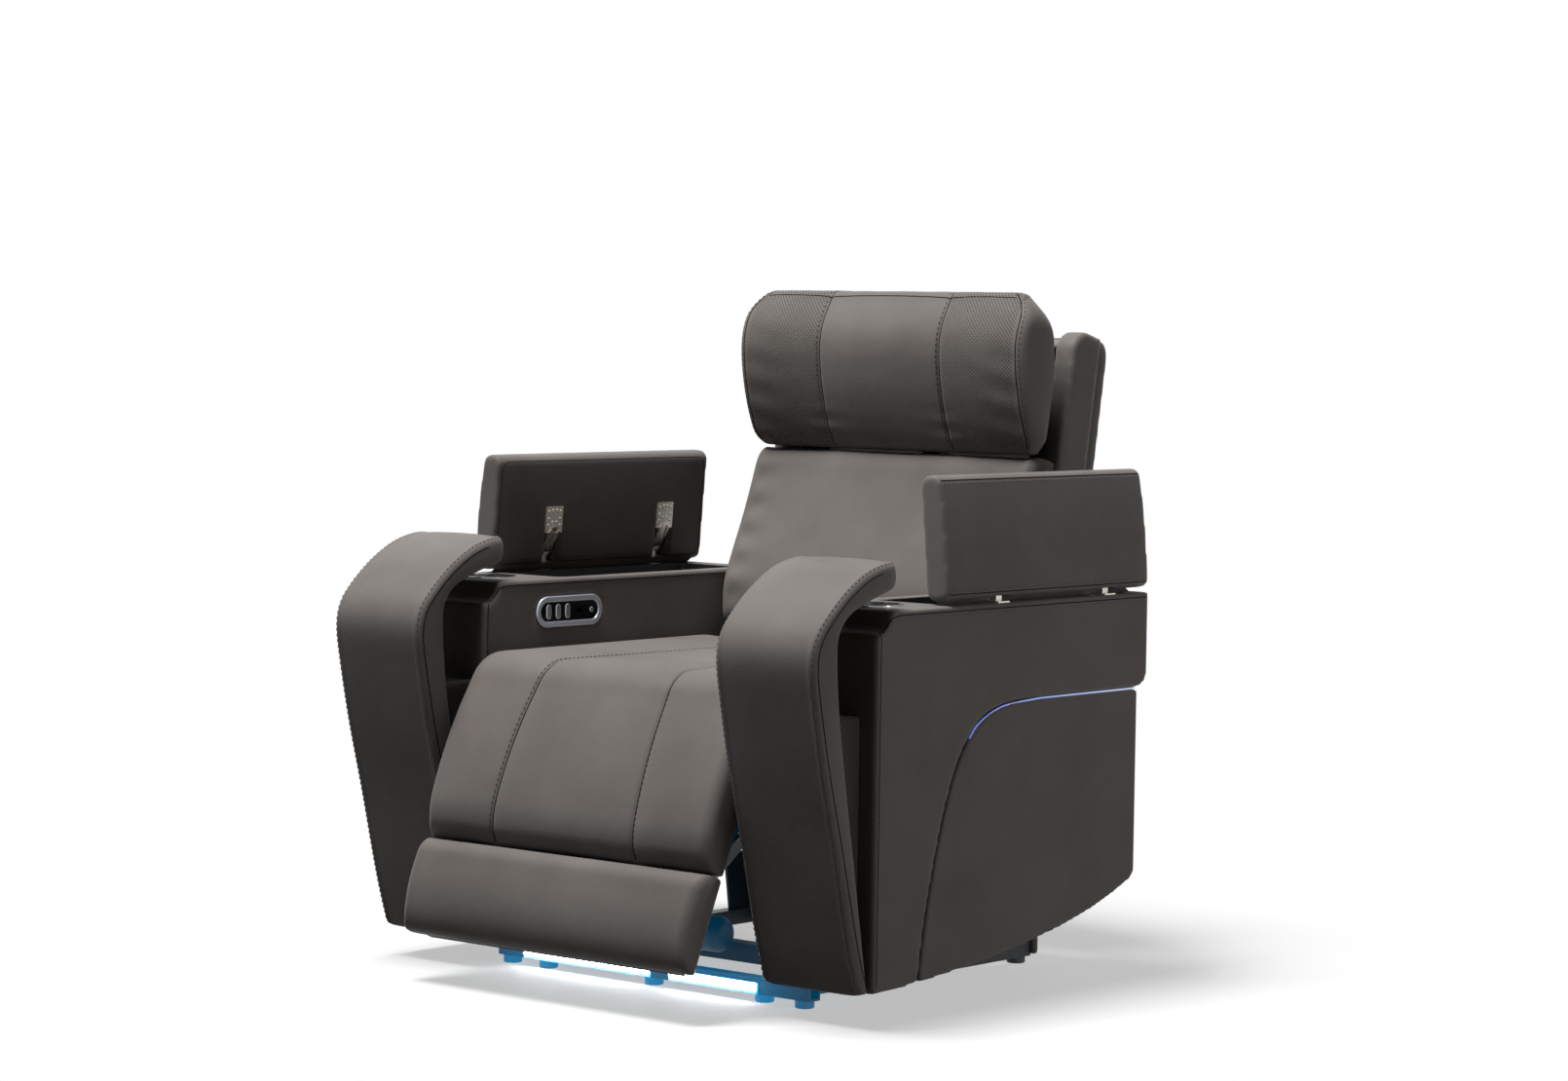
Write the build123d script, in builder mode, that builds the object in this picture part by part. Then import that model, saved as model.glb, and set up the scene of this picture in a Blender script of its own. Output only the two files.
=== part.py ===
"""Home cinema power recliner with storage arms, cup holders and an LED lit base.

Millimetres, +Z up, X across the seat, the front faces -Y, the floor is Z = 0.
Left and right are the sitter's: left is +X.
The pose is the one of a part-opened leg rest, raised lids and an upright back.
"""
from build123d import *
from math import asin, cos, degrees, radians, sin
import os

os.makedirs("parts", exist_ok=True)

# ---------------------------------------------------------------- driving sizes
OVERALL_W = 1000.0      # across both arms
ARM_W = 192.0           # one padded arm
SEAT_GAP = 10.0         # between cushion and arm, each side
SOFT_GAP = 0.5          # between a soft solid and what it lies on
RUN_FIT = 0.06          # radial running clearance of a pin in its bore
SLIDE_FIT = 0.3         # clearance of a sliding block in its channel
PLATE_T = 5.0           # pressed steel side plates
LINK_T = 6.0            # flat steel links and brackets

ARM_IN = OVERALL_W / 2 - ARM_W
ARM_OUT = OVERALL_W / 2
CUSHION_HALF = ARM_IN - SEAT_GAP

# the side plates stand inside the arms, and the moving plates stand inside them
SIDE_PLATE_GAP = 27.0   # arm to side plate
BACK_PLATE_GAP = 3.0    # side plate to the plate of the back
LUG_GAP = 8.5           # side plate to the bracket of the leg rest
ROD_GAP = 4.0           # bracket to drive rod
SIDE_PLATE_X = ARM_IN - SIDE_PLATE_GAP - PLATE_T / 2
BACK_PLATE_X = SIDE_PLATE_X - BACK_PLATE_GAP - PLATE_T
LUG_X = SIDE_PLATE_X - PLATE_T / 2 - LUG_GAP - LINK_T / 2
ROD_X = LUG_X - LINK_T - ROD_GAP

# ---------------------------------------------------------------- axes the rest is set out from
KNEE_Y = -302.0         # leg rest pivot
KNEE_Z = 440.0
TUBE_Y = 2.0            # torque tube of the leg rest drive
TUBE_Z = 226.0
BACK_Y = 300.0          # foot of the leaning frame of the back
BACK_Z = 370.0
HINGE_SETBACK = 43.0    # back hinge behind and below that foot
HINGE_DROP = 40.0
HINGE_Y = BACK_Y + HINGE_SETBACK
HINGE_Z = BACK_Z - HINGE_DROP

# ---------------------------------------------------------------- base
FOOT_R = 15.0
FOOT_H = 12.0
FOOT_CHAMFER = 1.5
RAIL_H = 25.0
RAIL_W = 25.0
RAIL_WALL = 3.0
RAIL_TOP = FOOT_H + RAIL_H
FRONT_RAIL_SETBACK = 62.0   # behind the knee pivot
REAR_RAIL_LEAD = 5.0        # ahead of the back hinge
FRONT_RAIL_Y = KNEE_Y + FRONT_RAIL_SETBACK
REAR_RAIL_Y = HINGE_Y - REAR_RAIL_LEAD
FOOT_PITCH = 80.0       # the two glides near each end of the front rail
FRONT_FEET_X = (-ARM_IN, FOOT_PITCH - ARM_IN, 0.0, ARM_IN - FOOT_PITCH, ARM_IN)
SIDE_RAIL_X = SIDE_PLATE_X
REAR_FOOT_INSET = 7.5
REAR_FEET_X = (REAR_FOOT_INSET - SIDE_RAIL_X, SIDE_RAIL_X - REAR_FOOT_INSET)
RAIL_END = 20.0         # front rail past the outermost glides
FRONT_RAIL_HALF = ARM_IN + RAIL_END
LED_RUNS = ((-269.0, 4.0), (43.0, 225.0))
LED_H = 10.0
LED_T = 3.0
CROSS_LEAD = 23.0       # middle cross rail ahead of the torque tube
CROSS_Y = TUBE_Y - CROSS_LEAD
CROSS_SIZE = 30.0
REAR_CROSS_SETBACK = 196.0  # upper rear cross rail behind and just below the torque tube
REAR_CROSS_DROP = 4.0
REAR_CROSS_Y = TUBE_Y + REAR_CROSS_SETBACK
REAR_CROSS_Z = TUBE_Z - REAR_CROSS_DROP
HINGE_BOSS_R = 30.0     # round corner of the side plate about the back hinge
BRACKET_SIZE = (54.0, 24.0)     # box brackets from the side plates to the arms
BRACKET_WALL = 3.0
BOLT_HEAD_R = 8.0
BOLT_HEAD_T = 5.0

# ---------------------------------------------------------------- leg rest
KNEE_R = 70.0           # padded roll over the knee
REST_LEAN = 23.5        # leg rest from vertical in this pose
PAD_T = 55.0
BOARD_T = 12.0
PAD_BACK = KNEE_R - PAD_T
BOARD_BACK = PAD_BACK - BOARD_T
PAD_END = 408.0         # from the knee pivot to the foot end
CREASE = 256.0          # horizontal seam between upper and lower pads
CREASE_GAP = 3.0
CREASE_DEPTH = 16.0     # rounded edges of the two pads at their seam
KNEE_CLEAR = 1.0
BOARD_INSET = 32.0      # board inside the pad's edge
BOARD_HALF = CUSHION_HALF - BOARD_INSET
PIN_R = 6.0
PIN_HEAD_T = 4.0
PIN_HEAD_LIP = 5.0
CRANK_R = 90.0          # drive crank, equal to the lug's own lever
TUBE_R = 15.0
TUBE_WALL = 2.5
MID_OPEN = 21.5         # leg rest angle past this pose where the drive stands square
LUG_EDGE = 16.0         # metal round the rod's pin in its bracket
LUG_END = 206.0         # bracket along the board
LUG_BOSS_R = 15.0
ROD_W = 26.0
ROD_HEAD_T = 3.0
CRANK_ROOT_R = 24.0
CRANK_TIP_R = 14.0

# ---------------------------------------------------------------- linear drives
CHANNEL_W = 34.0
CHANNEL_D = 22.0
CHANNEL_WALL = 2.5
SCREW_R = 5.0
DRIVE_PIN_R = 5.0
LEG_DRIVE_X = -138.0
LEG_CRANK = 60.0
LEG_RAIL_GAP = 95.0
LEG_RAIL_TILT = 35.0
LEG_RAIL_START = -120.0
LEG_RAIL_END = 139.0
LEG_LINEAR = 0.93       # slider travel per crank arc, best straight fit over the swing
LEG_SLOT_PLAY = 1.9
LEG_SWING_HALF = 45.0   # the swing either side of square
BACK_DRIVE_X = 110.0
BACK_CRANK = 55.0
BACK_RAIL_GAP = 85.0
BACK_RAIL_TILT = 165.0
BACK_RAIL_REAR = -40.0
BACK_RAIL_FRONT = 130.0
BACK_LINEAR = 0.985
BACK_SLOT_PLAY = 0.4
BACK_SWING = 38.0
MOTOR_R = 29.0
MOTOR_L = 112.0
MOTOR_END_SHARE = 0.55  # rounded end of a motor can
GEARBOX = (64.0, 58.0, 44.0)
GEARBOX_DROP = 4.0
SMALL_MOTOR_R = 11.0
SMALL_MOTOR_L = 70.0
SMALL_GEARBOX = (44.0, CHANNEL_D, 36.0)
SLIDER_L = 38.0
EAR_T = 5.0
EAR_EDGE = 8.0          # metal past the slot of a yoke
EAR_GAP = 1.0           # yoke to lever, past the sliding clearance
LEVER_T = 8.0
LEVER_TIP_R = 11.0
DRIVE_PIN_L = 4 * LEVER_T

# ---------------------------------------------------------------- seat
SPRING_W = 4.0
SEAT_CROWN = 2.0        # seat above the knee roll
SEAT_TOP = KNEE_Z + KNEE_R + SEAT_CROWN
SEAT_SETBACK = 78.0     # rear of the seat ahead of the back
SEAT_REAR = BACK_Y - SEAT_SETBACK
SEAT_EDGE = 22.0
ROLL_LIFT = 18.0        # underside of the roll above the knee pivot
ROLL_UNDER = KNEE_Z + ROLL_LIFT
FRAME_TUBE = 26.0
FRAME_TOP = 394.0
SEAT_UNDER = FRAME_TOP + SPRING_W + SOFT_GAP
FRAME_SETBACK = 87.0    # seat frame behind the knee pivot
FRAME_INSET = 7.0       # seat frame ahead of the cushion's rear
FRAME_FRONT = KNEE_Y + FRAME_SETBACK
FRAME_REAR = SEAT_REAR - FRAME_INSET
SPRING_PITCH = 95.0
SPRING_SWAY = 22.0
SPRING_WAVES = 9

# ---------------------------------------------------------------- back
LEAN = 9.5
BACK_TUBE_R = 14.0
BACK_BOSS_R = 24.0      # plates of the back about the hinge
SHELL_REAR = 122.0
SHELL_T = 35.0
SHELL_FACE = SHELL_REAR - SHELL_T
SHELL_TOP = 673.0
SHELL_BOTTOM = -70.0
SHELL_GAP = 9.0         # shell inside the arms
SHELL_HALF = ARM_IN - SHELL_GAP
BACK_FRAME_FRONT = 13.0
BACK_TUBE = 25.0
WING_OUT = ARM_IN
WING_T = WING_OUT - BACK_PLATE_X + PLATE_T / 2 - SOFT_GAP
WING_FRONT = BACK_FRAME_FRONT
WING_BOTTOM = 372.0
CUSHION_REAR = BACK_FRAME_FRONT - SOFT_GAP
CUSHION_TOP = 448.0
CUSHION_SINK = 11.0     # the leaning cushion's bottom line below the seat's height
CUSHION_BOTTOM = SEAT_TOP - BACK_Z - CUSHION_SINK
BACK_PLATE_TOP = 210.0
FRAME_LOW = 60.0
FRAME_DROP = 33.0       # frame below the shell's top
FRAME_HIGH = SHELL_TOP - FRAME_DROP
BACK_SPRING_SWAY = 14.0
BACK_SPRING_WAVES = 11
# the cut corner of a wire end stands a little past its centre line
SPRING_CORNER = 1.3

# ---------------------------------------------------------------- headrest
HEAD_PIVOT_Y = -2.0     # in the leaning frame of the back
HEAD_RISE = 34.0        # pivot above the back cushion
HEAD_PIVOT_Z = CUSHION_TOP + HEAD_RISE
HEAD_INSET = 2.0
HEAD_HALF = WING_OUT - HEAD_INSET
HEAD_PIN_R = 5.0
HEAD_EYE = 1.2          # metal round the headrest's pin
HEAD_BRACKET_X = 110.0
HEAD_BOARD_T = 7.0
HEAD_BOARD_H = 110.0
HEAD_BOARD_RISE = 48.0  # middle of the board above the pivot
HEAD_BOARD_HALF = 200.0
HEAD_REAR = -16.0
HEAD_FORWARD = 20.0
HEAD_BACKWARD = 12.0
HEAD_CRANK = 45.0
HEAD_RAIL_GAP = SHELL_FACE - CHANNEL_D / 2 - HEAD_PIVOT_Y
HEAD_RAIL_LOW = -92.0
HEAD_RAIL_HIGH = 40.0
HEAD_LINEAR = 0.987
HEAD_SLOT_PLAY = 0.4
HEAD_LUG_T = 4.0
HEAD_LUG_GAP = 1.0      # fixed lug to lever
HINGE_RAIL_RISE = 44.0  # frame rail that carries the headrest hinges, above the pivot

# ---------------------------------------------------------------- arms
ARM_FOOT = 50.0
BOX_LEAD = 11.0         # arm box ahead of the knee pivot
BOX_FRONT = KNEE_Y - BOX_LEAD
BOX_REAR = 343.0
BOX_HEAD_OUT = 25.0     # the arm's head stands out to the rear over its step
BOX_HEAD_REAR = BOX_REAR + BOX_HEAD_OUT
BOX_TOP = 616.0
BOX_HEAD_H = 149.0
BOX_STEP_Z = BOX_TOP - BOX_HEAD_H
BOX_CORNER_R = 34.0
PANEL_T = 14.0
PANEL_SEAM = 4.0
ARM_PAD = 35.0
ARM_BOARD = 12.0
ARM_BOARD_LOW = 20.0
CUP_SETBACK = 101.0     # behind the front of the arm box
CUP_SHIFT = 1.0         # outward from the middle of the arm
CUP_X = (ARM_IN + ARM_OUT) / 2 + CUP_SHIFT
CUP_Y = BOX_FRONT + CUP_SETBACK
CUP_R = 42.0
CUP_WALL = 1.5
CUP_RIM_R = 49.0
CUP_DEPTH = 78.0
CUP_RIM_T = 3.0
WELL_DEPTH = 186.0
WELL_WALL_IN = 22.0     # wall of the storage well on the sitter's side
WELL_WALL_OUT = 18.0    # and behind the side panel
WELL_SETBACK = 28.0     # well behind the lid's front edge
WELL_WALL_REAR = 7.0
WELL_R = 12.0
TRAY_WALL = 2.0
INFILL_SINK = 156.0     # floor of the niche below the arm's top
INFILL_TOP = BOX_TOP - INFILL_SINK
INFILL_LOW = ARM_FOOT + 2.0
INFILL_REACH_TOP = 97.0     # ahead of the arm box, before the hook trims it
INFILL_REACH_FOOT = 13.0
INFILL_INSET_OUT = 30.0
INFILL_INSET_IN = 10.0
INFILL_OUT = ARM_OUT - INFILL_INSET_OUT
INFILL_IN = ARM_IN + INFILL_INSET_IN

# lids swing on pins set inside their outer edge
LID_INSET = 2.0
LID_IN = ARM_IN + LID_INSET
LID_OUT = ARM_OUT - LID_INSET
LID_PIN_INSET = 20.0
LID_PIN_X = ARM_OUT - LID_PIN_INSET
LID_PIN_RISE = 26.0
LID_PIN_Z = BOX_TOP + LID_PIN_RISE
LID_OPEN = 85.0
LID_SETBACK = 66.0      # lid behind the cup holder
LID_OVERHANG = 3.0
LID_FRONT = CUP_Y + LID_SETBACK
LID_REAR = BOX_HEAD_REAR + LID_OVERHANG
LID_GAP = 2.0           # shut lid above the arm
LID_UNDER = BOX_TOP + LID_GAP
LID_T = 43.0
LID_EDGE_R = 14.0
LID_HINGE_INSET = (139.0, 103.0)
LID_HINGE_Y = (LID_FRONT + LID_HINGE_INSET[0], LID_REAR - LID_HINGE_INSET[1])
LID_PIN_R = 3.0
NOTCH_HALF = 17.0
NOTCH_DEEP = 46.0       # notch in from the pin
NOTCH_STEP = 10.0
CAVITY_FRONT = LID_FRONT + WELL_SETBACK
CAVITY_REAR = BOX_REAR - WELL_WALL_REAR
CAVITY_FLOOR = BOX_TOP - WELL_DEPTH
CAVITY_IN = ARM_IN + WELL_WALL_IN
CAVITY_OUT = ARM_OUT - PANEL_T - WELL_WALL_OUT

# ---------------------------------------------------------------- control panel
PANEL_SETBACK = 194.5
PANEL_DROP = 53.5
PANEL_Y = BOX_FRONT + PANEL_SETBACK
PANEL_Z = BOX_TOP - PANEL_DROP
PANEL_L = 155.0
PANEL_H = 51.0
BEZEL_W = 10.0
BEZEL_PROUD = 4.0
BEZEL_FILLET = 2.4
POCKET_D = WELL_WALL_IN
HOUSING_GAP = 2.0       # air behind the housing
HOUSING_D = POCKET_D - HOUSING_GAP
FACE_PROUD = 1.5
ROCKER_PITCH = 22.0
ROCKER_LEAD = 4.5       # last rocker ahead of the panel's middle
ROCKER_Y = tuple(PANEL_Y - ROCKER_LEAD - ROCKER_PITCH * place for place in (2, 1, 0))
ROCKER_W = 12.0
ROCKER_L = 25.0
ROCKER_PROUD = 3.5
ROCKER_EDGE_R = 1.5
ROCKER_DEPTH = 14.0
ROCKER_SIDE_GAP = 0.4
ROCKER_SWING_GAP = 1.2
ROCKER_BACK_GAP = 3.0
TRUNNION_R = 1.5
TRUNNION_L = 1.6
TRUNNION_GAP = 0.3
AXLE_DEPTH = 6.0
BUTTON_SETBACK = 52.5
BUTTON_Y = PANEL_Y + BUTTON_SETBACK
BUTTON_R = 4.5
BUTTON_EDGE_R = 1.0
BUTTON_FLANGE_R = 6.0
BUTTON_FLANGE_T = 1.5
BUTTON_TRAVEL = 1.5
BUTTON_STAND = 0.5      # pressed button above the face
BUTTON_SHOULDER = 5.0
BUTTON_BACK_GAP = 1.0
SHOULDER_GAP = 0.05
PORT_SETBACK = 23.5
PORT_Y = PANEL_Y + PORT_SETBACK
PORT_W = 15.0
PORT_H = 9.0
PORT_SLOT = (12.6, 5.0)
PORT_DEPTH = 12.0
PORT_BACK = 2.0
INLET_X = 200.0
INLET_Z = 80.0
INLET_SIZE = 24.0
INLET_D = 16.0
INLET_R = 4.0
INLET_BORE_D = 11.0
REAR_PANEL_LOW = 15.0
REAR_PANEL_TOP = 202.0
REAR_PANEL_T = 12.0

pieces = []


def keep(builder, label):
    """Label a finished piece and put it on the list to write."""
    builder.part.label = label
    pieces.append(builder.part)
    return builder.part


def leg_plane(x):
    """Plane of the leg rest at x: local x runs down the pad, local y out of its face."""
    down = (0, -sin(radians(REST_LEAN)), -cos(radians(REST_LEAN)))
    return Plane(origin=(x, KNEE_Y, KNEE_Z), x_dir=down, z_dir=(-1, 0, 0))


def back_plane(x):
    """Leaning plane of the back at x: local x to the rear, local y up the back."""
    rearward = (0, cos(radians(LEAN)), -sin(radians(LEAN)))
    return Plane(origin=(x, BACK_Y, BACK_Z), x_dir=rearward, z_dir=(1, 0, 0))


def to_back(y, z):
    """A world point in the leaning frame of the back."""
    dy, dz = y - BACK_Y, z - BACK_Z
    lean = radians(LEAN)
    return (dy * cos(lean) - dz * sin(lean), dy * sin(lean) + dz * cos(lean))


def lid_plane(side, y):
    """Plane across a raised lid: local x is the shut lid's outward way, local y its up."""
    swing = radians(LID_OPEN)
    outward = (side * cos(swing), 0, -sin(swing))
    return Plane(origin=(side * LID_PIN_X, y, LID_PIN_Z), x_dir=outward, z_dir=(0, -side, 0))


def rail_plane(x, pivot, gap, tilt, side):
    """Plane of a linear drive: origin on its screw, local x along it, local y to the crank axis."""
    along = Vector(0, cos(radians(tilt)), sin(radians(tilt)))
    to_axis = Vector(0, -side * sin(radians(tilt)), side * cos(radians(tilt)))
    foot = Vector(x, pivot[0], pivot[1]) - to_axis * gap
    return Plane(origin=foot, x_dir=along, z_dir=(side, 0, 0))


# drive lever of the leg rest: its direction in this pose, and the pin it carries
OA = Vector(0, TUBE_Y - KNEE_Y, TUBE_Z - KNEE_Z)
MID_LEVER = Vector(0, OA.Z, -OA.Y).normalized()


def turned(vector, degrees):
    """A Y-Z vector turned the way that lifts the leg rest."""
    turn = radians(degrees)
    y = vector.Y * cos(turn) + vector.Z * sin(turn)
    z = vector.Z * cos(turn) - vector.Y * sin(turn)
    return Vector(0, y, z)


LEVER = turned(MID_LEVER, -MID_OPEN) * CRANK_R
LUG_PIN = (KNEE_Y + LEVER.Y, KNEE_Z + LEVER.Z)
CRANK_PIN = (TUBE_Y + LEVER.Y, TUBE_Z + LEVER.Z)


def disc(plane, point, radius, thick):
    """Add a flat disc about a point of a plane, thick across it."""
    with BuildSketch(plane) as outline:
        with Locations(point):
            Circle(radius)
    extrude(outline.sketch, amount=thick / 2, both=True)


def strap(plane, start, end, start_r, end_r, thick):
    """Add a flat strap with round ends between two points of a plane."""
    with BuildSketch(plane) as outline:
        with Locations(start):
            Circle(start_r)
        with Locations(end):
            Circle(end_r)
        make_hull()
    extrude(outline.sketch, amount=thick / 2, both=True)


def bore(plane, point, radius, thick):
    """Cut a round hole across a plane."""
    with BuildSketch(plane) as outline:
        with Locations(point):
            Circle(radius)
    extrude(outline.sketch, amount=thick / 2, both=True, mode=Mode.SUBTRACT)


def at_x(x):
    return Plane.YZ.offset(x)


# ================================================================= base frame
CROSS_RAILS = (
    (FRONT_RAIL_Y, FOOT_H + RAIL_H / 2, RAIL_W, FRONT_RAIL_HALF),
    (REAR_RAIL_Y, FOOT_H + RAIL_H / 2, RAIL_W, SIDE_RAIL_X - RAIL_W / 2),
    (CROSS_Y, FOOT_H + CROSS_SIZE / 2, CROSS_SIZE, SIDE_RAIL_X - RAIL_W / 2),
    (REAR_CROSS_Y, REAR_CROSS_Z, CROSS_SIZE, SIDE_PLATE_X - PLATE_T / 2),
)

with BuildPart() as cross_rails:
    for rail_y, rail_z, rail_size, rail_half in CROSS_RAILS:
        with BuildSketch(at_x(-rail_half)):
            with Locations((rail_y, rail_z)):
                Rectangle(rail_size, rail_size)
                Rectangle(rail_size - 2 * RAIL_WALL, rail_size - 2 * RAIL_WALL, mode=Mode.SUBTRACT)
        extrude(amount=2 * rail_half)
keep(cross_rails, "frame_cross_rails")

with BuildPart() as side_rails:
    rail_front = FRONT_RAIL_Y + RAIL_W / 2
    with BuildSketch(Plane.XZ.offset(-rail_front)):
        for side in (1, -1):
            with Locations((side * SIDE_RAIL_X, FOOT_H + RAIL_H / 2)):
                Rectangle(RAIL_W, RAIL_H)
                Rectangle(RAIL_W - 2 * RAIL_WALL, RAIL_H - 2 * RAIL_WALL, mode=Mode.SUBTRACT)
    extrude(amount=rail_front - REAR_RAIL_Y - RAIL_W / 2)
keep(side_rails, "base_side_rails")

with BuildPart() as feet:
    foot_places = [(x, FRONT_RAIL_Y) for x in FRONT_FEET_X] + [(x, REAR_RAIL_Y) for x in REAR_FEET_X]
    with BuildSketch(Plane.XY):
        with Locations(*foot_places):
            Circle(FOOT_R)
    extrude(amount=FOOT_H)
    chamfer(feet.edges().group_by(Axis.Z)[0], FOOT_CHAMFER)
keep(feet, "glide_feet")

# pressed side plate: knee corner, level top, hinge corner, rear leg, arch, front leg
SIDE_PLATE_OUTLINE = (
    (KNEE_Y - 18, KNEE_Z - 12), (KNEE_Y - 12, KNEE_Z + 12), (KNEE_Y + 4, KNEE_Z + 17),
    (KNEE_Y + 58, FRAME_TOP + 2), (HINGE_Y - 93, FRAME_TOP + 2),
    (HINGE_Y - 8, HINGE_Z + 28), (HINGE_Y - 8, HINGE_Z - 28),
    (HINGE_Y - 27, HINGE_Z - 42), (HINGE_Y - 27, RAIL_TOP), (HINGE_Y - 87, RAIL_TOP),
    (HINGE_Y - 107, TUBE_Z - 50), (TUBE_Y - 26, TUBE_Z - 50), (TUBE_Y - 120, TUBE_Z - 98),
    (KNEE_Y + 162, RAIL_TOP), (KNEE_Y + 102, RAIL_TOP), (KNEE_Y + 88, KNEE_Z - 210),
)
LARGE_HOLES = ((KNEE_Y + 152, FRAME_TOP - 94), (KNEE_Y + 242, FRAME_TOP - 76),
               (HINGE_Y - 233, HINGE_Z - 30), (HINGE_Y - 143, HINGE_Z - 10))
LARGE_HOLE_R = 34.0
SMALL_HOLES = ((KNEE_Y + 137, RAIL_TOP + 113), (HINGE_Y - 59, RAIL_TOP + 113))
SMALL_HOLE_R = 16.0

with BuildPart() as side_plates:
    for side in (1, -1):
        with BuildSketch(at_x(side * SIDE_PLATE_X)):
            with BuildLine():
                Polyline(*SIDE_PLATE_OUTLINE, close=True)
            make_face()
            with Locations((HINGE_Y, HINGE_Z)):
                Circle(HINGE_BOSS_R)
            with Locations(*LARGE_HOLES):
                Circle(LARGE_HOLE_R, mode=Mode.SUBTRACT)
            with Locations(*SMALL_HOLES):
                Circle(SMALL_HOLE_R, mode=Mode.SUBTRACT)
            with Locations((KNEE_Y, KNEE_Z), (HINGE_Y, HINGE_Z)):
                Circle(PIN_R, mode=Mode.SUBTRACT)
            with Locations((TUBE_Y, TUBE_Z)):
                Circle(TUBE_R + RUN_FIT, mode=Mode.SUBTRACT)
        extrude(amount=PLATE_T / 2, both=True)
keep(side_plates, "seat_side_plates")

ARM_BRACKET_PLACES = ((KNEE_Y + 152, FRAME_TOP - 34), (HINGE_Y - 183, HINGE_Z - 80),
                      (HINGE_Y - 53, HINGE_Z + 15), (KNEE_Y + 137, RAIL_TOP + 43))

LEG_RAIL = rail_plane(LEG_DRIVE_X, (TUBE_Y, TUBE_Z), LEG_RAIL_GAP, LEG_RAIL_TILT, 1)
BACK_RAIL = rail_plane(BACK_DRIVE_X, (HINGE_Y, HINGE_Z), BACK_RAIL_GAP, BACK_RAIL_TILT, -1)


def rail_under(plane, y):
    """Height of the underside of a drive channel at world y."""
    low = plane.from_local_coords((0, -CHANNEL_D / 2, 0))
    return low.Z + (y - low.Y) * plane.x_dir.Z / plane.x_dir.Y


# each drive channel stands on a cross rail: rail, x, top of the rail, front and rear of the stand
DRIVE_STANDS = (
    (LEG_RAIL, LEG_DRIVE_X, FOOT_H + CROSS_SIZE, CROSS_Y + 3, CROSS_Y + 13),
    (BACK_RAIL, BACK_DRIVE_X, REAR_CROSS_Z + CROSS_SIZE / 2, REAR_CROSS_Y - 2, REAR_CROSS_Y + 10),
)

with BuildPart() as frame_brackets:
    reach = ARM_IN - SIDE_PLATE_X - PLATE_T / 2
    for side in (1, -1):
        plane = at_x(side * (ARM_IN - reach / 2))
        for place in ARM_BRACKET_PLACES:
            with BuildSketch(plane):
                with Locations(place):
                    Rectangle(*BRACKET_SIZE)
                    Rectangle(BRACKET_SIZE[0] - 2 * BRACKET_WALL, BRACKET_SIZE[1] - 2 * BRACKET_WALL,
                              mode=Mode.SUBTRACT)
            extrude(amount=reach / 2, both=True)
    for rail, stand_x, rail_top, stand_front, stand_rear in DRIVE_STANDS:
        with BuildSketch(at_x(stand_x)):
            with BuildLine():
                Polyline((stand_front, rail_top), (stand_rear, rail_top),
                         (stand_rear, rail_under(rail, stand_rear)),
                         (stand_front, rail_under(rail, stand_front)), close=True)
            make_face()
        extrude(amount=CHANNEL_W / 2, both=True)
keep(frame_brackets, "frame_brackets")

with BuildPart() as frame_bolts:
    for side in (1, -1):
        for place in ARM_BRACKET_PLACES:
            with BuildSketch(at_x(side * (SIDE_PLATE_X - PLATE_T / 2))):
                with Locations(place):
                    RegularPolygon(radius=BOLT_HEAD_R, side_count=6)
            extrude(amount=-side * BOLT_HEAD_T)
keep(frame_bolts, "frame_bolts")

with BuildPart() as pivot_pins:
    pin_in = LUG_X - LINK_T
    pin_out = SIDE_PLATE_X + PLATE_T / 2
    for side in (1, -1):
        for place in ((KNEE_Y, KNEE_Z), (HINGE_Y, HINGE_Z)):
            with BuildSketch(at_x(side * pin_in)):
                with Locations(place):
                    Circle(PIN_R)
            extrude(amount=side * (pin_out + PIN_HEAD_T - pin_in))
            with BuildSketch(at_x(side * pin_out)):
                with Locations(place):
                    Circle(PIN_R + PIN_HEAD_LIP)
            extrude(amount=side * PIN_HEAD_T)
keep(pivot_pins, "pivot_pins")

# ================================================================= leg rest
LEG_BOARD_START = KNEE_R + KNEE_CLEAR


def knee_cut(half_width):
    """Round the upper end of a leg rest pad to the sweep of the knee roll."""
    with BuildSketch(at_x(0)) as sweep_circle:
        with Locations((KNEE_Y, KNEE_Z)):
            Circle(KNEE_R + KNEE_CLEAR)
    extrude(sweep_circle.sketch, amount=half_width + PAD_T, both=True, mode=Mode.SUBTRACT)


with BuildPart() as upper_pad:
    with BuildSketch(leg_plane(0)):
        with BuildLine():
            Polyline(
                (0, KNEE_R), (CREASE - 26, KNEE_R), (CREASE - CREASE_GAP / 2, KNEE_R - CREASE_DEPTH),
                (CREASE - CREASE_GAP / 2, PAD_BACK), (0, PAD_BACK), close=True,
            )
        make_face()
    extrude(amount=CUSHION_HALF, both=True)
    knee_cut(CUSHION_HALF)
keep(upper_pad, "leg_rest_upper_pad")

with BuildPart() as lower_pad:
    with BuildSketch(leg_plane(0)):
        with BuildLine():
            Polyline(
                (CREASE + CREASE_GAP / 2, PAD_BACK), (CREASE + CREASE_GAP / 2, KNEE_R - CREASE_DEPTH),
                (CREASE + 24, KNEE_R), (PAD_END - 34, KNEE_R), (PAD_END - 8, KNEE_R - 14),
                (PAD_END, KNEE_R - 32), (PAD_END, PAD_BACK), close=True,
            )
        make_face()
    extrude(amount=CUSHION_HALF, both=True)
keep(lower_pad, "leg_rest_lower_pad")

with BuildPart() as leg_board:
    with BuildSketch(leg_plane(0)):
        with Locations(((LEG_BOARD_START + PAD_END) / 2, PAD_BACK - BOARD_T / 2)):
            Rectangle(PAD_END - LEG_BOARD_START - 4, BOARD_T)
    extrude(amount=BOARD_HALF, both=True)
keep(leg_board, "leg_rest_board")

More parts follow.
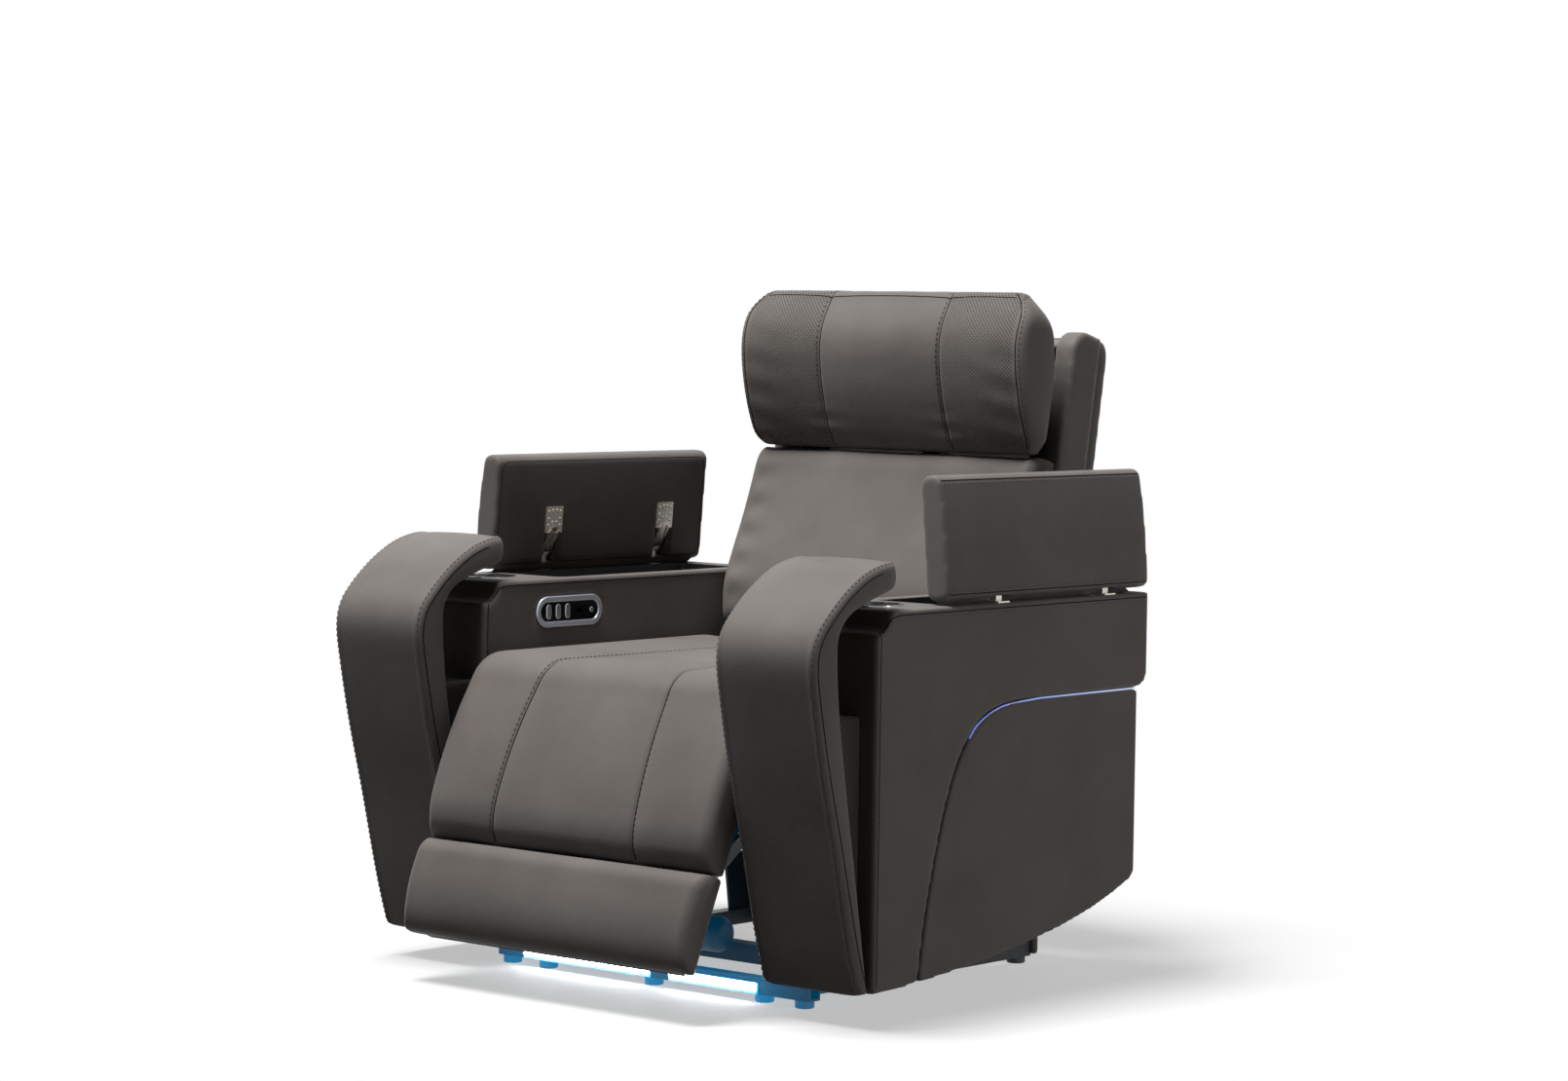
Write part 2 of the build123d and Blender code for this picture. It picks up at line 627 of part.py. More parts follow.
# the rod's pin seen in the plane of the bracket, and the bracket's flange under the board
LUG_EYE = leg_plane(0).to_local_coords(Vector(0, *LUG_PIN))
FLANGE_T = 3.0
FLANGE_L = 110.0
FLANGE_W = 22.0

with BuildPart() as leg_lugs:
    for side in (1, -1):
        plane = leg_plane(side * LUG_X)
        world = at_x(side * LUG_X)
        with BuildSketch(plane):
            with BuildLine():
                Polyline(
                    (0, 1 - LUG_BOSS_R), (LUG_EYE.X, LUG_EYE.Y - LUG_EDGE),
                    (LUG_EYE.X + LUG_EDGE, LUG_EYE.Y - LUG_EDGE), (LUG_END, BOARD_BACK - LUG_EDGE),
                    (LUG_END, BOARD_BACK), (LEG_BOARD_START, BOARD_BACK), (0, LUG_BOSS_R - 2), close=True,
                )
            make_face()
            with Locations((0, 0)):
                Circle(LUG_BOSS_R)
        extrude(amount=LINK_T / 2, both=True)
        with BuildSketch(leg_plane(side * (LUG_X - LINK_T / 2 - FLANGE_W / 2))):
            with Locations((LUG_END - FLANGE_L / 2, BOARD_BACK - FLANGE_T / 2)):
                Rectangle(FLANGE_L, FLANGE_T)
        extrude(amount=FLANGE_W / 2, both=True)
        bore(world, (KNEE_Y, KNEE_Z), PIN_R + RUN_FIT, 4 * LINK_T)
        bore(world, LUG_PIN, PIN_R + RUN_FIT, LINK_T + 1)
keep(leg_lugs, "leg_rest_brackets")

PIN_END = 2.0

# rods run parallel to the line from the knee pivot to the drive tube
with BuildPart() as drive_rods:
    for side in (1, -1):
        plane = at_x(side * ROD_X)
        strap(plane, LUG_PIN, CRANK_PIN, ROD_W / 2, ROD_W / 2, LINK_T)
        bore(plane, LUG_PIN, PIN_R, LINK_T + 1)
        bore(plane, CRANK_PIN, PIN_R, LINK_T + 1)
keep(drive_rods, "drive_rods")

with BuildPart() as rod_pins:
    rod_in = ROD_X - LINK_T / 2
    for side in (1, -1):
        for place in (LUG_PIN, CRANK_PIN):
            with BuildSketch(at_x(side * rod_in)):
                with Locations(place):
                    Circle(PIN_R)
            extrude(amount=side * (LUG_X + LINK_T / 2 + PIN_END - rod_in))
            with BuildSketch(at_x(side * rod_in)):
                with Locations(place):
                    Circle(PIN_R + ROD_HEAD_T)
            extrude(amount=-side * ROD_HEAD_T)
keep(rod_pins, "rod_pins")

LEG_CRANK_DIR = Vector(0, sin(radians(LEG_RAIL_TILT)), -cos(radians(LEG_RAIL_TILT)))
LEG_CRANK_REST = turned(LEG_CRANK_DIR, -MID_OPEN) * LEG_CRANK
LEG_CRANK_PIN = (TUBE_Y + LEG_CRANK_REST.Y, TUBE_Z + LEG_CRANK_REST.Z)

with BuildPart() as torque_tube:
    tube_half = SIDE_PLATE_X + PLATE_T / 2
    with BuildSketch(at_x(-tube_half)):
        with Locations((TUBE_Y, TUBE_Z)):
            Circle(TUBE_R)
            Circle(TUBE_R - TUBE_WALL, mode=Mode.SUBTRACT)
    extrude(amount=2 * tube_half)
    for side in (1, -1):
        plane = at_x(side * LUG_X)
        strap(plane, (TUBE_Y, TUBE_Z), CRANK_PIN, CRANK_ROOT_R, CRANK_TIP_R, LINK_T)
        bore(plane, CRANK_PIN, PIN_R + RUN_FIT, LINK_T + 1)
    strap(at_x(LEG_DRIVE_X), (TUBE_Y, TUBE_Z), LEG_CRANK_PIN, CRANK_ROOT_R, LEVER_TIP_R, LEVER_T)
    bore(at_x(0), (TUBE_Y, TUBE_Z), TUBE_R - TUBE_WALL, 2 * tube_half + 2)
    disc(at_x(LEG_DRIVE_X), LEG_CRANK_PIN, DRIVE_PIN_R, DRIVE_PIN_L)
keep(torque_tube, "torque_tube")


# ================================================================= linear drives
def add_channel(plane, start, end):
    """Add an open channel that guides a slider, with an end plate that seats its screw."""
    way = 1 if end > start else -1
    half = CHANNEL_W / 2
    low = CHANNEL_D / 2
    lengths = ((half - CHANNEL_WALL / 2, 0, CHANNEL_WALL / 2, CHANNEL_D),
               (CHANNEL_WALL / 2 - half, 0, CHANNEL_WALL / 2, CHANNEL_D),
               (0, CHANNEL_WALL / 2 - low, half - CHANNEL_WALL / 2, CHANNEL_WALL))
    for across, middle, reach, depth in lengths:
        with BuildSketch(plane.offset(across)) as wall:
            with Locations(((start + end) / 2, middle)):
                Rectangle(abs(end - start), depth)
        extrude(wall.sketch, amount=reach, both=True)
    with BuildSketch(plane) as end_plate:
        with Locations((end + way * CHANNEL_WALL, 0)):
            Rectangle(2 * CHANNEL_WALL, CHANNEL_D)
    extrude(end_plate.sketch, amount=half, both=True)


def add_screw(plane, start, end):
    """Add the lead screw between a gearbox and the end plate."""
    foot = plane.from_local_coords((min(start, end), 0, 0))
    with BuildSketch(Plane(origin=foot, z_dir=plane.x_dir)) as thread:
        Circle(SCREW_R)
    extrude(thread.sketch, amount=abs(end - start))


def make_motor(plane, gear_end, way, gearbox, drop, motor_r, motor_l):
    """Gearbox on the screw's driven end, with its round motor lying across the seat."""
    box_l, box_h, box_w = gearbox
    centre = gear_end - way * box_l / 2
    with BuildPart() as motor:
        with BuildSketch(plane):
            with Locations((centre, -drop)):
                RectangleRounded(box_l, box_h, box_h / 8)
        extrude(amount=box_w / 2, both=True)
        with BuildSketch(plane.offset(box_w / 2)):
            with Locations((centre, -drop)):
                Circle(motor_r)
        extrude(amount=motor_l)
        motor_end = motor.faces().sort_by(Axis(plane.origin, plane.z_dir))[-1]
        fillet(motor_end.edges(), motor_r * MOTOR_END_SHARE)
    return motor


def make_slider(plane, rest, slot_low, slot_high, play):
    """Nut block in the channel with a slotted yoke that takes a lever's cross pin."""
    slot_w = 2 * (DRIVE_PIN_R + play)
    ear_top = slot_high + slot_w / 2 + EAR_EDGE
    block_low = CHANNEL_WALL + SLIDE_FIT - CHANNEL_D / 2
    block_top = CHANNEL_D / 2 + 2 * SLIDE_FIT
    ear_x = LEVER_T / 2 + SLIDE_FIT + EAR_GAP + EAR_T / 2
    with BuildPart() as slider:
        with BuildSketch(plane):
            with Locations((rest, (block_low + block_top) / 2)):
                Rectangle(SLIDER_L, block_top - block_low)
        extrude(amount=CHANNEL_W / 2 - CHANNEL_WALL - SLIDE_FIT, both=True)
        with BuildSketch(plane):
            with Locations((rest, block_top + EAR_T / 2)):
                Rectangle(SLIDER_L, EAR_T)
        extrude(amount=CHANNEL_W / 2, both=True)
        for way in (1, -1):
            with BuildSketch(plane.offset(way * ear_x)):
                with Locations((rest, (block_top + ear_top) / 2)):
                    Rectangle(slot_w + 2 * EAR_EDGE, ear_top - block_top)
                with Locations((rest, (slot_low + slot_high) / 2)):
                    SlotOverall(slot_high - slot_low + slot_w + RUN_FIT, slot_w, rotation=90,
                                mode=Mode.SUBTRACT)
            extrude(amount=EAR_T / 2, both=True)
        foot = plane.from_local_coords((rest - SLIDER_L, 0, 0))
        with BuildSketch(Plane(origin=foot, z_dir=plane.x_dir)):
            Circle(SCREW_R + 2 * RUN_FIT)
        extrude(amount=2 * SLIDER_L, mode=Mode.SUBTRACT)
    return slider


LEG_SLIDER_REST = LEG_LINEAR * LEG_CRANK * radians(MID_OPEN)
BACK_SLIDER_REST = -BACK_LINEAR * BACK_CRANK * radians(BACK_SWING / 2)

with BuildPart() as drive_channels:
    add_channel(LEG_RAIL, LEG_RAIL_START, LEG_RAIL_END)
    add_channel(BACK_RAIL, BACK_RAIL_FRONT, BACK_RAIL_REAR)
keep(drive_channels, "drive_channels")

with BuildPart() as drive_screws:
    add_screw(LEG_RAIL, LEG_RAIL_START, LEG_RAIL_END)
    add_screw(BACK_RAIL, BACK_RAIL_FRONT, BACK_RAIL_REAR)
keep(drive_screws, "drive_screws")

keep(make_motor(LEG_RAIL, LEG_RAIL_START, 1, GEARBOX, GEARBOX_DROP, MOTOR_R, MOTOR_L), "leg_drive_motor")
keep(make_motor(BACK_RAIL, BACK_RAIL_FRONT, -1, GEARBOX, GEARBOX_DROP, MOTOR_R, MOTOR_L),
     "back_drive_motor")
keep(make_slider(LEG_RAIL, LEG_SLIDER_REST, LEG_RAIL_GAP - LEG_CRANK,
                 LEG_RAIL_GAP - LEG_CRANK * cos(radians(LEG_SWING_HALF)), LEG_SLOT_PLAY),
     "leg_drive_slider")
keep(make_slider(BACK_RAIL, BACK_SLIDER_REST, BACK_RAIL_GAP - BACK_CRANK,
                 BACK_RAIL_GAP - BACK_CRANK * cos(radians(BACK_SWING / 2)), BACK_SLOT_PLAY),
     "back_drive_slider")

# ================================================================= seat
with BuildPart() as seat_frame:
    frame_half = SIDE_PLATE_X - PLATE_T / 2
    with BuildSketch(Plane.XY.offset(FRAME_TOP)):
        with Locations((0, (FRAME_FRONT + FRAME_REAR) / 2)):
            Rectangle(2 * frame_half, FRAME_REAR - FRAME_FRONT)
            Rectangle(2 * (frame_half - FRAME_TUBE), FRAME_REAR - FRAME_FRONT - 2 * FRAME_TUBE,
                      mode=Mode.SUBTRACT)
    extrude(amount=-FRAME_TUBE)
keep(seat_frame, "seat_frame")

with BuildPart() as seat_springs:
    start = FRAME_FRONT + FRAME_TUBE / 2
    wave = (FRAME_REAR - FRAME_FRONT - FRAME_TUBE) / SPRING_WAVES
    for column in (-2, -1, 0, 1, 2):
        spring_x = column * SPRING_PITCH
        turns = [
            (spring_x + (SPRING_SWAY if i % 2 else -SPRING_SWAY), start + wave * i)
            for i in range(SPRING_WAVES + 1)
        ]
        with BuildSketch(Plane.XY.offset(FRAME_TOP)):
            with BuildLine():
                Polyline(*turns)
            trace(line_width=SPRING_W)
        extrude(amount=SPRING_W)
keep(seat_springs, "seat_springs")

with BuildPart() as seat_cushion:
    with BuildSketch(at_x(0)):
        with BuildLine():
            roll = CenterArc((KNEE_Y, KNEE_Z), KNEE_R, 90, 90 - degrees(asin(ROLL_LIFT / KNEE_R)))
            top = Line(roll @ 0, (SEAT_REAR - SEAT_EDGE, SEAT_TOP))
            Polyline(top @ 1, (SEAT_REAR, SEAT_TOP - SEAT_EDGE), (SEAT_REAR, SEAT_UNDER),
                     (FRAME_FRONT - 14, SEAT_UNDER), (FRAME_FRONT - 21, ROLL_UNDER), roll @ 1)
        make_face()
    extrude(amount=CUSHION_HALF, both=True)
keep(seat_cushion, "seat_cushion")

# ================================================================= back
HINGE_IN_BACK = to_back(HINGE_Y, HINGE_Z)
FRAME_MIDDLE = BACK_FRAME_FRONT + BACK_TUBE / 2

with BuildPart() as back_plates:
    for side in (1, -1):
        plane = back_plane(side * BACK_PLATE_X)
        with BuildSketch(plane):
            with Locations(HINGE_IN_BACK):
                Circle(BACK_BOSS_R)
            with Locations((FRAME_MIDDLE, FRAME_LOW), (FRAME_MIDDLE, BACK_PLATE_TOP)):
                Circle(BACK_TUBE / 2)
            make_hull()
        extrude(amount=PLATE_T / 2, both=True)
        bore(plane, HINGE_IN_BACK, PIN_R + RUN_FIT, 3 * PLATE_T)
keep(back_plates, "back_plates")

BACK_CRANK_DIR = Vector(0, cos(radians(BACK_RAIL_TILT + 90)), sin(radians(BACK_RAIL_TILT + 90)))
BACK_CRANK_REST = turned(BACK_CRANK_DIR, -BACK_SWING / 2) * BACK_CRANK
BACK_CRANK_PIN = (HINGE_Y + BACK_CRANK_REST.Y, HINGE_Z + BACK_CRANK_REST.Z)

with BuildPart() as back_tube:
    back_tube_half = BACK_PLATE_X - PLATE_T / 2
    with BuildSketch(at_x(-back_tube_half)):
        with Locations((HINGE_Y, HINGE_Z)):
            Circle(BACK_TUBE_R)
            Circle(BACK_TUBE_R - TUBE_WALL, mode=Mode.SUBTRACT)
    extrude(amount=2 * back_tube_half)
    strap(at_x(BACK_DRIVE_X), (HINGE_Y, HINGE_Z), BACK_CRANK_PIN, BACK_BOSS_R, LEVER_TIP_R, LEVER_T)
    bore(at_x(0), (HINGE_Y, HINGE_Z), BACK_TUBE_R - TUBE_WALL, 2 * back_tube_half + 2)
    disc(at_x(BACK_DRIVE_X), BACK_CRANK_PIN, DRIVE_PIN_R, DRIVE_PIN_L)
keep(back_tube, "back_hinge_tube")

UPRIGHT_X = BACK_PLATE_X - PLATE_T / 2 - BACK_TUBE / 2
RAIL_LEVELS = (160.0, 400.0, HEAD_PIVOT_Z + HINGE_RAIL_RISE, FRAME_HIGH - BACK_TUBE / 2)

with BuildPart() as back_frame:
    for side in (1, -1):
        with BuildSketch(back_plane(side * UPRIGHT_X)):
            with Locations(((BACK_FRAME_FRONT + SHELL_FACE) / 2, (FRAME_LOW + FRAME_HIGH) / 2)):
                Rectangle(SHELL_FACE - BACK_FRAME_FRONT, FRAME_HIGH - FRAME_LOW)
        extrude(amount=BACK_TUBE / 2, both=True)
    for level in RAIL_LEVELS:
        with BuildSketch(back_plane(0)):
            with Locations((FRAME_MIDDLE, level)):
                Rectangle(BACK_TUBE, BACK_TUBE)
        extrude(amount=UPRIGHT_X, both=True)
keep(back_frame, "back_frame")

SPRING_HALF = UPRIGHT_X - BACK_TUBE / 2 - SPRING_CORNER
SPRING_LEVELS = (210.0, 255.0, 300.0, 345.0)
SPRING_PLANE = Plane(
    origin=back_plane(0).from_local_coords((BACK_FRAME_FRONT + SPRING_W / 2, 0, 0)),
    x_dir=(1, 0, 0), z_dir=-back_plane(0).x_dir,
)

with BuildPart() as back_springs:
    for level in SPRING_LEVELS:
        turns = [
            (SPRING_HALF * (2 * i / BACK_SPRING_WAVES - 1),
             level + (BACK_SPRING_SWAY if i % 2 else -BACK_SPRING_SWAY))
            for i in range(BACK_SPRING_WAVES + 1)
        ]
        with BuildSketch(SPRING_PLANE):
            with BuildLine():
                Polyline(*turns)
            trace(line_width=SPRING_W)
        extrude(amount=SPRING_W / 2, both=True)
keep(back_springs, "back_springs")

# lumbar line of the back cushion: depth in front of the back, and height
LUMBAR = ((-90, CUSHION_BOTTOM), (-100, CUSHION_BOTTOM + 74), (-92, CUSHION_BOTTOM + 126),
          (-74, CUSHION_TOP - 121), (-62, CUSHION_TOP - 63), (-50, CUSHION_TOP - 24))

with BuildPart() as back_cushion:
    with BuildSketch(back_plane(0)):
        with BuildLine():
            face = Spline(*LUMBAR)
            crown = ThreePointArc(face @ 1, (-40, CUSHION_TOP - 7), (-20, CUSHION_TOP))
            Polyline(crown @ 1, (CUSHION_REAR, CUSHION_TOP), (CUSHION_REAR, CUSHION_BOTTOM), face @ 0)
        make_face()
    extrude(amount=CUSHION_HALF, both=True)
keep(back_cushion, "back_cushion")

with BuildPart() as back_shell:
    with BuildSketch(back_plane(0)):
        with BuildLine():
            Polyline(
                (SHELL_FACE, SHELL_BOTTOM), (SHELL_REAR, SHELL_BOTTOM), (SHELL_REAR, SHELL_TOP - 22),
                (SHELL_REAR - 12, SHELL_TOP - 6), (SHELL_FACE, SHELL_TOP), close=True,
            )
        make_face()
    extrude(amount=SHELL_HALF, both=True)
keep(back_shell, "back_shell")

with BuildPart() as wings:
    wing_rear = SHELL_FACE - SOFT_GAP
    for side in (1, -1):
        with BuildSketch(back_plane(side * (WING_OUT - WING_T / 2))):
            with BuildLine():
                edge = Polyline((WING_FRONT, WING_BOTTOM), (wing_rear, WING_BOTTOM),
                                (wing_rear, SHELL_TOP - 4), (WING_FRONT + 34, SHELL_TOP))
                crest = ThreePointArc(edge @ 1, (WING_FRONT + 8, SHELL_TOP - 12),
                                      (WING_FRONT, SHELL_TOP - 44))
                Line(crest @ 1, (WING_FRONT, WING_BOTTOM))
            make_face()
        extrude(amount=WING_T / 2, both=True)
keep(wings, "back_wings")

REAR_PANEL_Y = REAR_RAIL_Y + RAIL_W / 2

with BuildPart() as rear_panel:
    with BuildSketch(Plane.XZ.offset(-REAR_PANEL_Y)):
        with Locations((0, (REAR_PANEL_LOW + REAR_PANEL_TOP) / 2)):
            Rectangle(2 * SHELL_HALF, REAR_PANEL_TOP - REAR_PANEL_LOW)
        with Locations((INLET_X, INLET_Z)):
            Rectangle(INLET_SIZE, INLET_SIZE, mode=Mode.SUBTRACT)
    extrude(amount=-REAR_PANEL_T)
keep(rear_panel, "rear_lower_panel")

with BuildPart() as inlet:
    with BuildSketch(Plane.XZ.offset(-REAR_PANEL_Y - REAR_PANEL_T)):
        with Locations((INLET_X, INLET_Z)):
            Rectangle(INLET_SIZE, INLET_SIZE)
    extrude(amount=INLET_D)
    with BuildSketch(Plane.XZ.offset(-REAR_PANEL_Y - REAR_PANEL_T)):
        with Locations((INLET_X, INLET_Z)):
            Circle(INLET_R)
    extrude(amount=INLET_BORE_D, mode=Mode.SUBTRACT)
keep(inlet, "power_inlet")

# ================================================================= headrest
# the headrest leans out over the back cushion: depth, and height above the cushion
HEAD_FRONT = ((-46, 17), (-78, 44), (-101, 112), (-114, 192), (-104, 252))
HEAD_CROWN = ((-94, 266), (-76, 267))
HEAD_BACK = ((-54, 254), (-32, 216), (HEAD_REAR, 140), (HEAD_REAR, 18))


def above_cushion(points):
    """Profile points carried up to the top of the back cushion."""
    return [(depth, CUSHION_TOP + height) for depth, height in points]


with BuildPart() as head_pad:
    with BuildSketch(back_plane(0)):
        with BuildLine():
            face = Spline(*above_cushion(HEAD_FRONT))
            crown = ThreePointArc(face @ 1, *above_cushion(HEAD_CROWN))
            Polyline(crown @ 1, *above_cushion(HEAD_BACK), face @ 0)
        make_face()
    extrude(amount=HEAD_HALF, both=True)
keep(head_pad, "headrest_pad")

BOARD_MIDDLE = HEAD_REAR + SOFT_GAP + HEAD_BOARD_T / 2

with BuildPart() as head_board:
    with BuildSketch(back_plane(0)):
        with Locations((BOARD_MIDDLE, HEAD_PIVOT_Z + HEAD_BOARD_RISE)):
            Rectangle(HEAD_BOARD_T, HEAD_BOARD_H)
    extrude(amount=HEAD_BOARD_HALF, both=True)
keep(head_board, "headrest_board")

HEAD_PIVOT = (HEAD_PIVOT_Y, HEAD_PIVOT_Z)
HEAD_MID = (HEAD_FORWARD - HEAD_BACKWARD) / 2
HEAD_PIN = (HEAD_PIVOT_Y + HEAD_CRANK * cos(radians(HEAD_MID)),
            HEAD_PIVOT_Z - HEAD_CRANK * sin(radians(HEAD_MID)))
ARM_TIP_R = 4.0
ARM_TIP = (BOARD_MIDDLE + HEAD_BOARD_T / 2 + ARM_TIP_R, HEAD_PIVOT_Z + 30)
HINGE_TIP_R = 4.0
HINGE_TIPS = ((BACK_FRAME_FRONT - HINGE_TIP_R, HEAD_PIVOT_Z + HINGE_RAIL_RISE - 8),
              (BACK_FRAME_FRONT - HINGE_TIP_R, HEAD_PIVOT_Z + HINGE_RAIL_RISE + 6))

with BuildPart() as head_lever:
    for side in (1, -1):
        strap(back_plane(side * HEAD_BRACKET_X), HEAD_PIVOT, ARM_TIP, HEAD_PIN_R - SOFT_GAP, ARM_TIP_R,
              HEAD_LUG_T)
    with BuildSketch(back_plane(0)):
        with Locations(HEAD_PIVOT):
            Circle(HEAD_PIN_R)
    extrude(amount=HEAD_BRACKET_X + 2 * HEAD_LUG_T + HEAD_LUG_GAP, both=True)
    strap(back_plane(0), HEAD_PIVOT, HEAD_PIN, HEAD_PIN_R + HEAD_EYE, DRIVE_PIN_R + 3, LEVER_T)
    disc(back_plane(0), HEAD_PIN, DRIVE_PIN_R, DRIVE_PIN_L)
keep(head_lever, "headrest_lever")

with BuildPart() as head_hinges:
    for side in (1, -1):
        for way in (1, -1):
            plane = back_plane(side * HEAD_BRACKET_X + way * (HEAD_LUG_T + HEAD_LUG_GAP))
            with BuildSketch(plane):
                with Locations(HEAD_PIVOT):
                    Circle(HEAD_PIN_R + HEAD_EYE)
                with Locations(*HINGE_TIPS):
                    Circle(HINGE_TIP_R)
                make_hull()
                with Locations(HEAD_PIVOT):
                    Circle(HEAD_PIN_R + RUN_FIT, mode=Mode.SUBTRACT)
            extrude(amount=HEAD_LUG_T / 2, both=True)
keep(head_hinges, "headrest_hinges")

head_axis = back_plane(0).from_local_coords((HEAD_PIVOT_Y, HEAD_PIVOT_Z, 0))
head_rail = rail_plane(0, (head_axis.Y, head_axis.Z), HEAD_RAIL_GAP, 90 - LEAN, 1)
HEAD_SLIDER_REST = -HEAD_LINEAR * HEAD_CRANK * radians(HEAD_MID)

with BuildPart() as head_channel:
    add_channel(head_rail, HEAD_RAIL_LOW, HEAD_RAIL_HIGH)
keep(head_channel, "headrest_drive_channel")

keep(make_motor(head_rail, HEAD_RAIL_LOW, 1, SMALL_GEARBOX, 0, SMALL_MOTOR_R, SMALL_MOTOR_L),
     "headrest_drive_motor")
keep(make_slider(head_rail, HEAD_SLIDER_REST, HEAD_RAIL_GAP - HEAD_CRANK,
                 HEAD_RAIL_GAP - HEAD_CRANK * cos(radians(HEAD_MID + HEAD_BACKWARD)), HEAD_SLOT_PLAY),
     "headrest_drive_slider")


# ================================================================= arms
# the arm's underside rises from its foot at the front to a round heel at the rear
ARM_UNDER = ((BOX_FRONT, ARM_FOOT), (BOX_FRONT + 110, ARM_FOOT + 7), (BOX_REAR - 282, ARM_FOOT + 38),
             (BOX_REAR - 143, ARM_FOOT + 66), (BOX_REAR - 14, ARM_FOOT + 110))
ARM_HEEL = ((BOX_REAR - 3, ARM_FOOT + 120), (BOX_REAR, ARM_FOOT + 134))


def arm_outline():
    """Side outline of the arm box as a closed face in the Y-Z plane."""
    with BuildSketch(Plane.YZ) as outline:
        with BuildLine():
            under = Spline(*ARM_UNDER)
            heel = ThreePointArc(under @ 1, *ARM_HEEL)
            head = Polyline(heel @ 1, (BOX_REAR, BOX_STEP_Z), (BOX_HEAD_REAR - 10, BOX_STEP_Z + 4),
                            (BOX_HEAD_REAR, BOX_STEP_Z + 20), (BOX_HEAD_REAR, BOX_TOP),
                            (BOX_FRONT + BOX_CORNER_R, BOX_TOP))
            corner = RadiusArc(head @ 1, (BOX_FRONT, BOX_TOP - BOX_CORNER_R), BOX_CORNER_R)
            Line(corner @ 1, under @ 0)
        make_face()
    return outline.sketch.face()


# rising edge of the side panel, from under the arm's foot to its step
PANEL_RISE = Edge.make_spline([
    (BOX_FRONT + 106, ARM_FOOT - 20), (BOX_FRONT + 126, ARM_FOOT + 106),
    (BOX_FRONT + 160, BOX_STEP_Z - 182), (BOX_FRONT + 199, BOX_STEP_Z - 87),
    (BOX_FRONT + 243, BOX_STEP_Z - 35), (BOX_FRONT + 305, BOX_STEP_Z - 10),
    (BOX_FRONT + 393, BOX_STEP_Z - 4),
])
PANEL_STEPS = 8
PANEL_RUN = 20.0        # the sketch runs past the arm's edges, which then trim it


def panel_outline(margin):
    """The sweeping edge of the side panel, set out by a margin and run past the arm's edges."""
    points = []
    low = ARM_FOOT - 2 * PANEL_RUN
    for step in range(PANEL_STEPS + 1):
        along = PANEL_RISE % (step / PANEL_STEPS)
        place = PANEL_RISE @ (step / PANEL_STEPS)
        points.append((place.X - along.Y * margin, place.Y + along.X * margin))
    with BuildSketch(Plane.YZ) as outline:
        with BuildLine():
            rise = Spline(*points)
            Polyline(rise @ 1, (BOX_REAR + PANEL_RUN, points[-1][1]), (BOX_REAR + PANEL_RUN, low),
                     (points[0][0], low), rise @ 0)
        make_face()
    return outline.sketch.face()


ARM_FACE = arm_outline()
PANEL_FACE = panel_outline(0)
RECESS_FACE = panel_outline(PANEL_SEAM)
VOID_X = (ARM_IN + ARM_PAD, ARM_OUT - PANEL_T - ARM_PAD)
VOID_Y = (BOX_FRONT + ARM_PAD, BOX_REAR - ARM_PAD)
WELL_FLOOR_T = 30.0
VOID_TOP = CAVITY_FLOOR - WELL_FLOOR_T


def moved(face, x):
    """A Y-Z face carried along X."""
    return face.moved(Location((x, 0, 0)))


def make_arm_cover(side):
    """Padded arm box: hollow from below, with the storage well, cup well and panel recess."""
    with BuildPart() as cover:
        extrude(moved(ARM_FACE, side * ARM_IN), amount=ARM_W, dir=(side, 0, 0))
        extrude(moved(RECESS_FACE, side * ARM_OUT), amount=PANEL_T, dir=(-side, 0, 0),
                mode=Mode.SUBTRACT)
        with BuildSketch(Plane.XY):
            with Locations((side * sum(VOID_X) / 2, sum(VOID_Y) / 2)):
                Rectangle(VOID_X[1] - VOID_X[0], VOID_Y[1] - VOID_Y[0])
        extrude(amount=VOID_TOP, mode=Mode.SUBTRACT)
        with BuildSketch(Plane.XY.offset(CAVITY_FLOOR)):
            with Locations((side * (CAVITY_IN + CAVITY_OUT) / 2, (CAVITY_FRONT + CAVITY_REAR) / 2)):
                RectangleRounded(CAVITY_OUT - CAVITY_IN, CAVITY_REAR - CAVITY_FRONT, WELL_R)
        extrude(amount=BOX_TOP - CAVITY_FLOOR + SOFT_GAP, mode=Mode.SUBTRACT)
        with Locations((side * CUP_X, CUP_Y, BOX_TOP)):
            Hole(CUP_R + CUP_WALL + SOFT_GAP, depth=CUP_DEPTH + CUP_WALL + SOFT_GAP)
        if side < 0:
            with BuildSketch(at_x(-ARM_IN)):
                with Locations((PANEL_Y, PANEL_Z)):
                    SlotOverall(PANEL_L, PANEL_H)
            extrude(amount=-POCKET_D, mode=Mode.SUBTRACT)
    return cover


keep(make_arm_cover(1), "arm_cover_left")
keep(make_arm_cover(-1), "arm_cover_right")

with BuildPart() as arm_frames:
    frame_w = VOID_X[1] - VOID_X[0] - 2 * SOFT_GAP
    frame_l = VOID_Y[1] - VOID_Y[0] - 2 * SOFT_GAP
    for side in (1, -1):
        with BuildSketch(Plane.XY.offset(ARM_BOARD_LOW)):
            with Locations((side * sum(VOID_X) / 2, sum(VOID_Y) / 2)):
                Rectangle(frame_w, frame_l)
                Rectangle(frame_w - 2 * ARM_BOARD, frame_l - 2 * ARM_BOARD, mode=Mode.SUBTRACT)
        extrude(amount=VOID_TOP - ARM_BOARD_LOW - SOFT_GAP)
    extrude(moved(ARM_FACE, -ARM_OUT), amount=2 * ARM_OUT, dir=(1, 0, 0), mode=Mode.INTERSECT)
keep(arm_frames, "arm_frames")

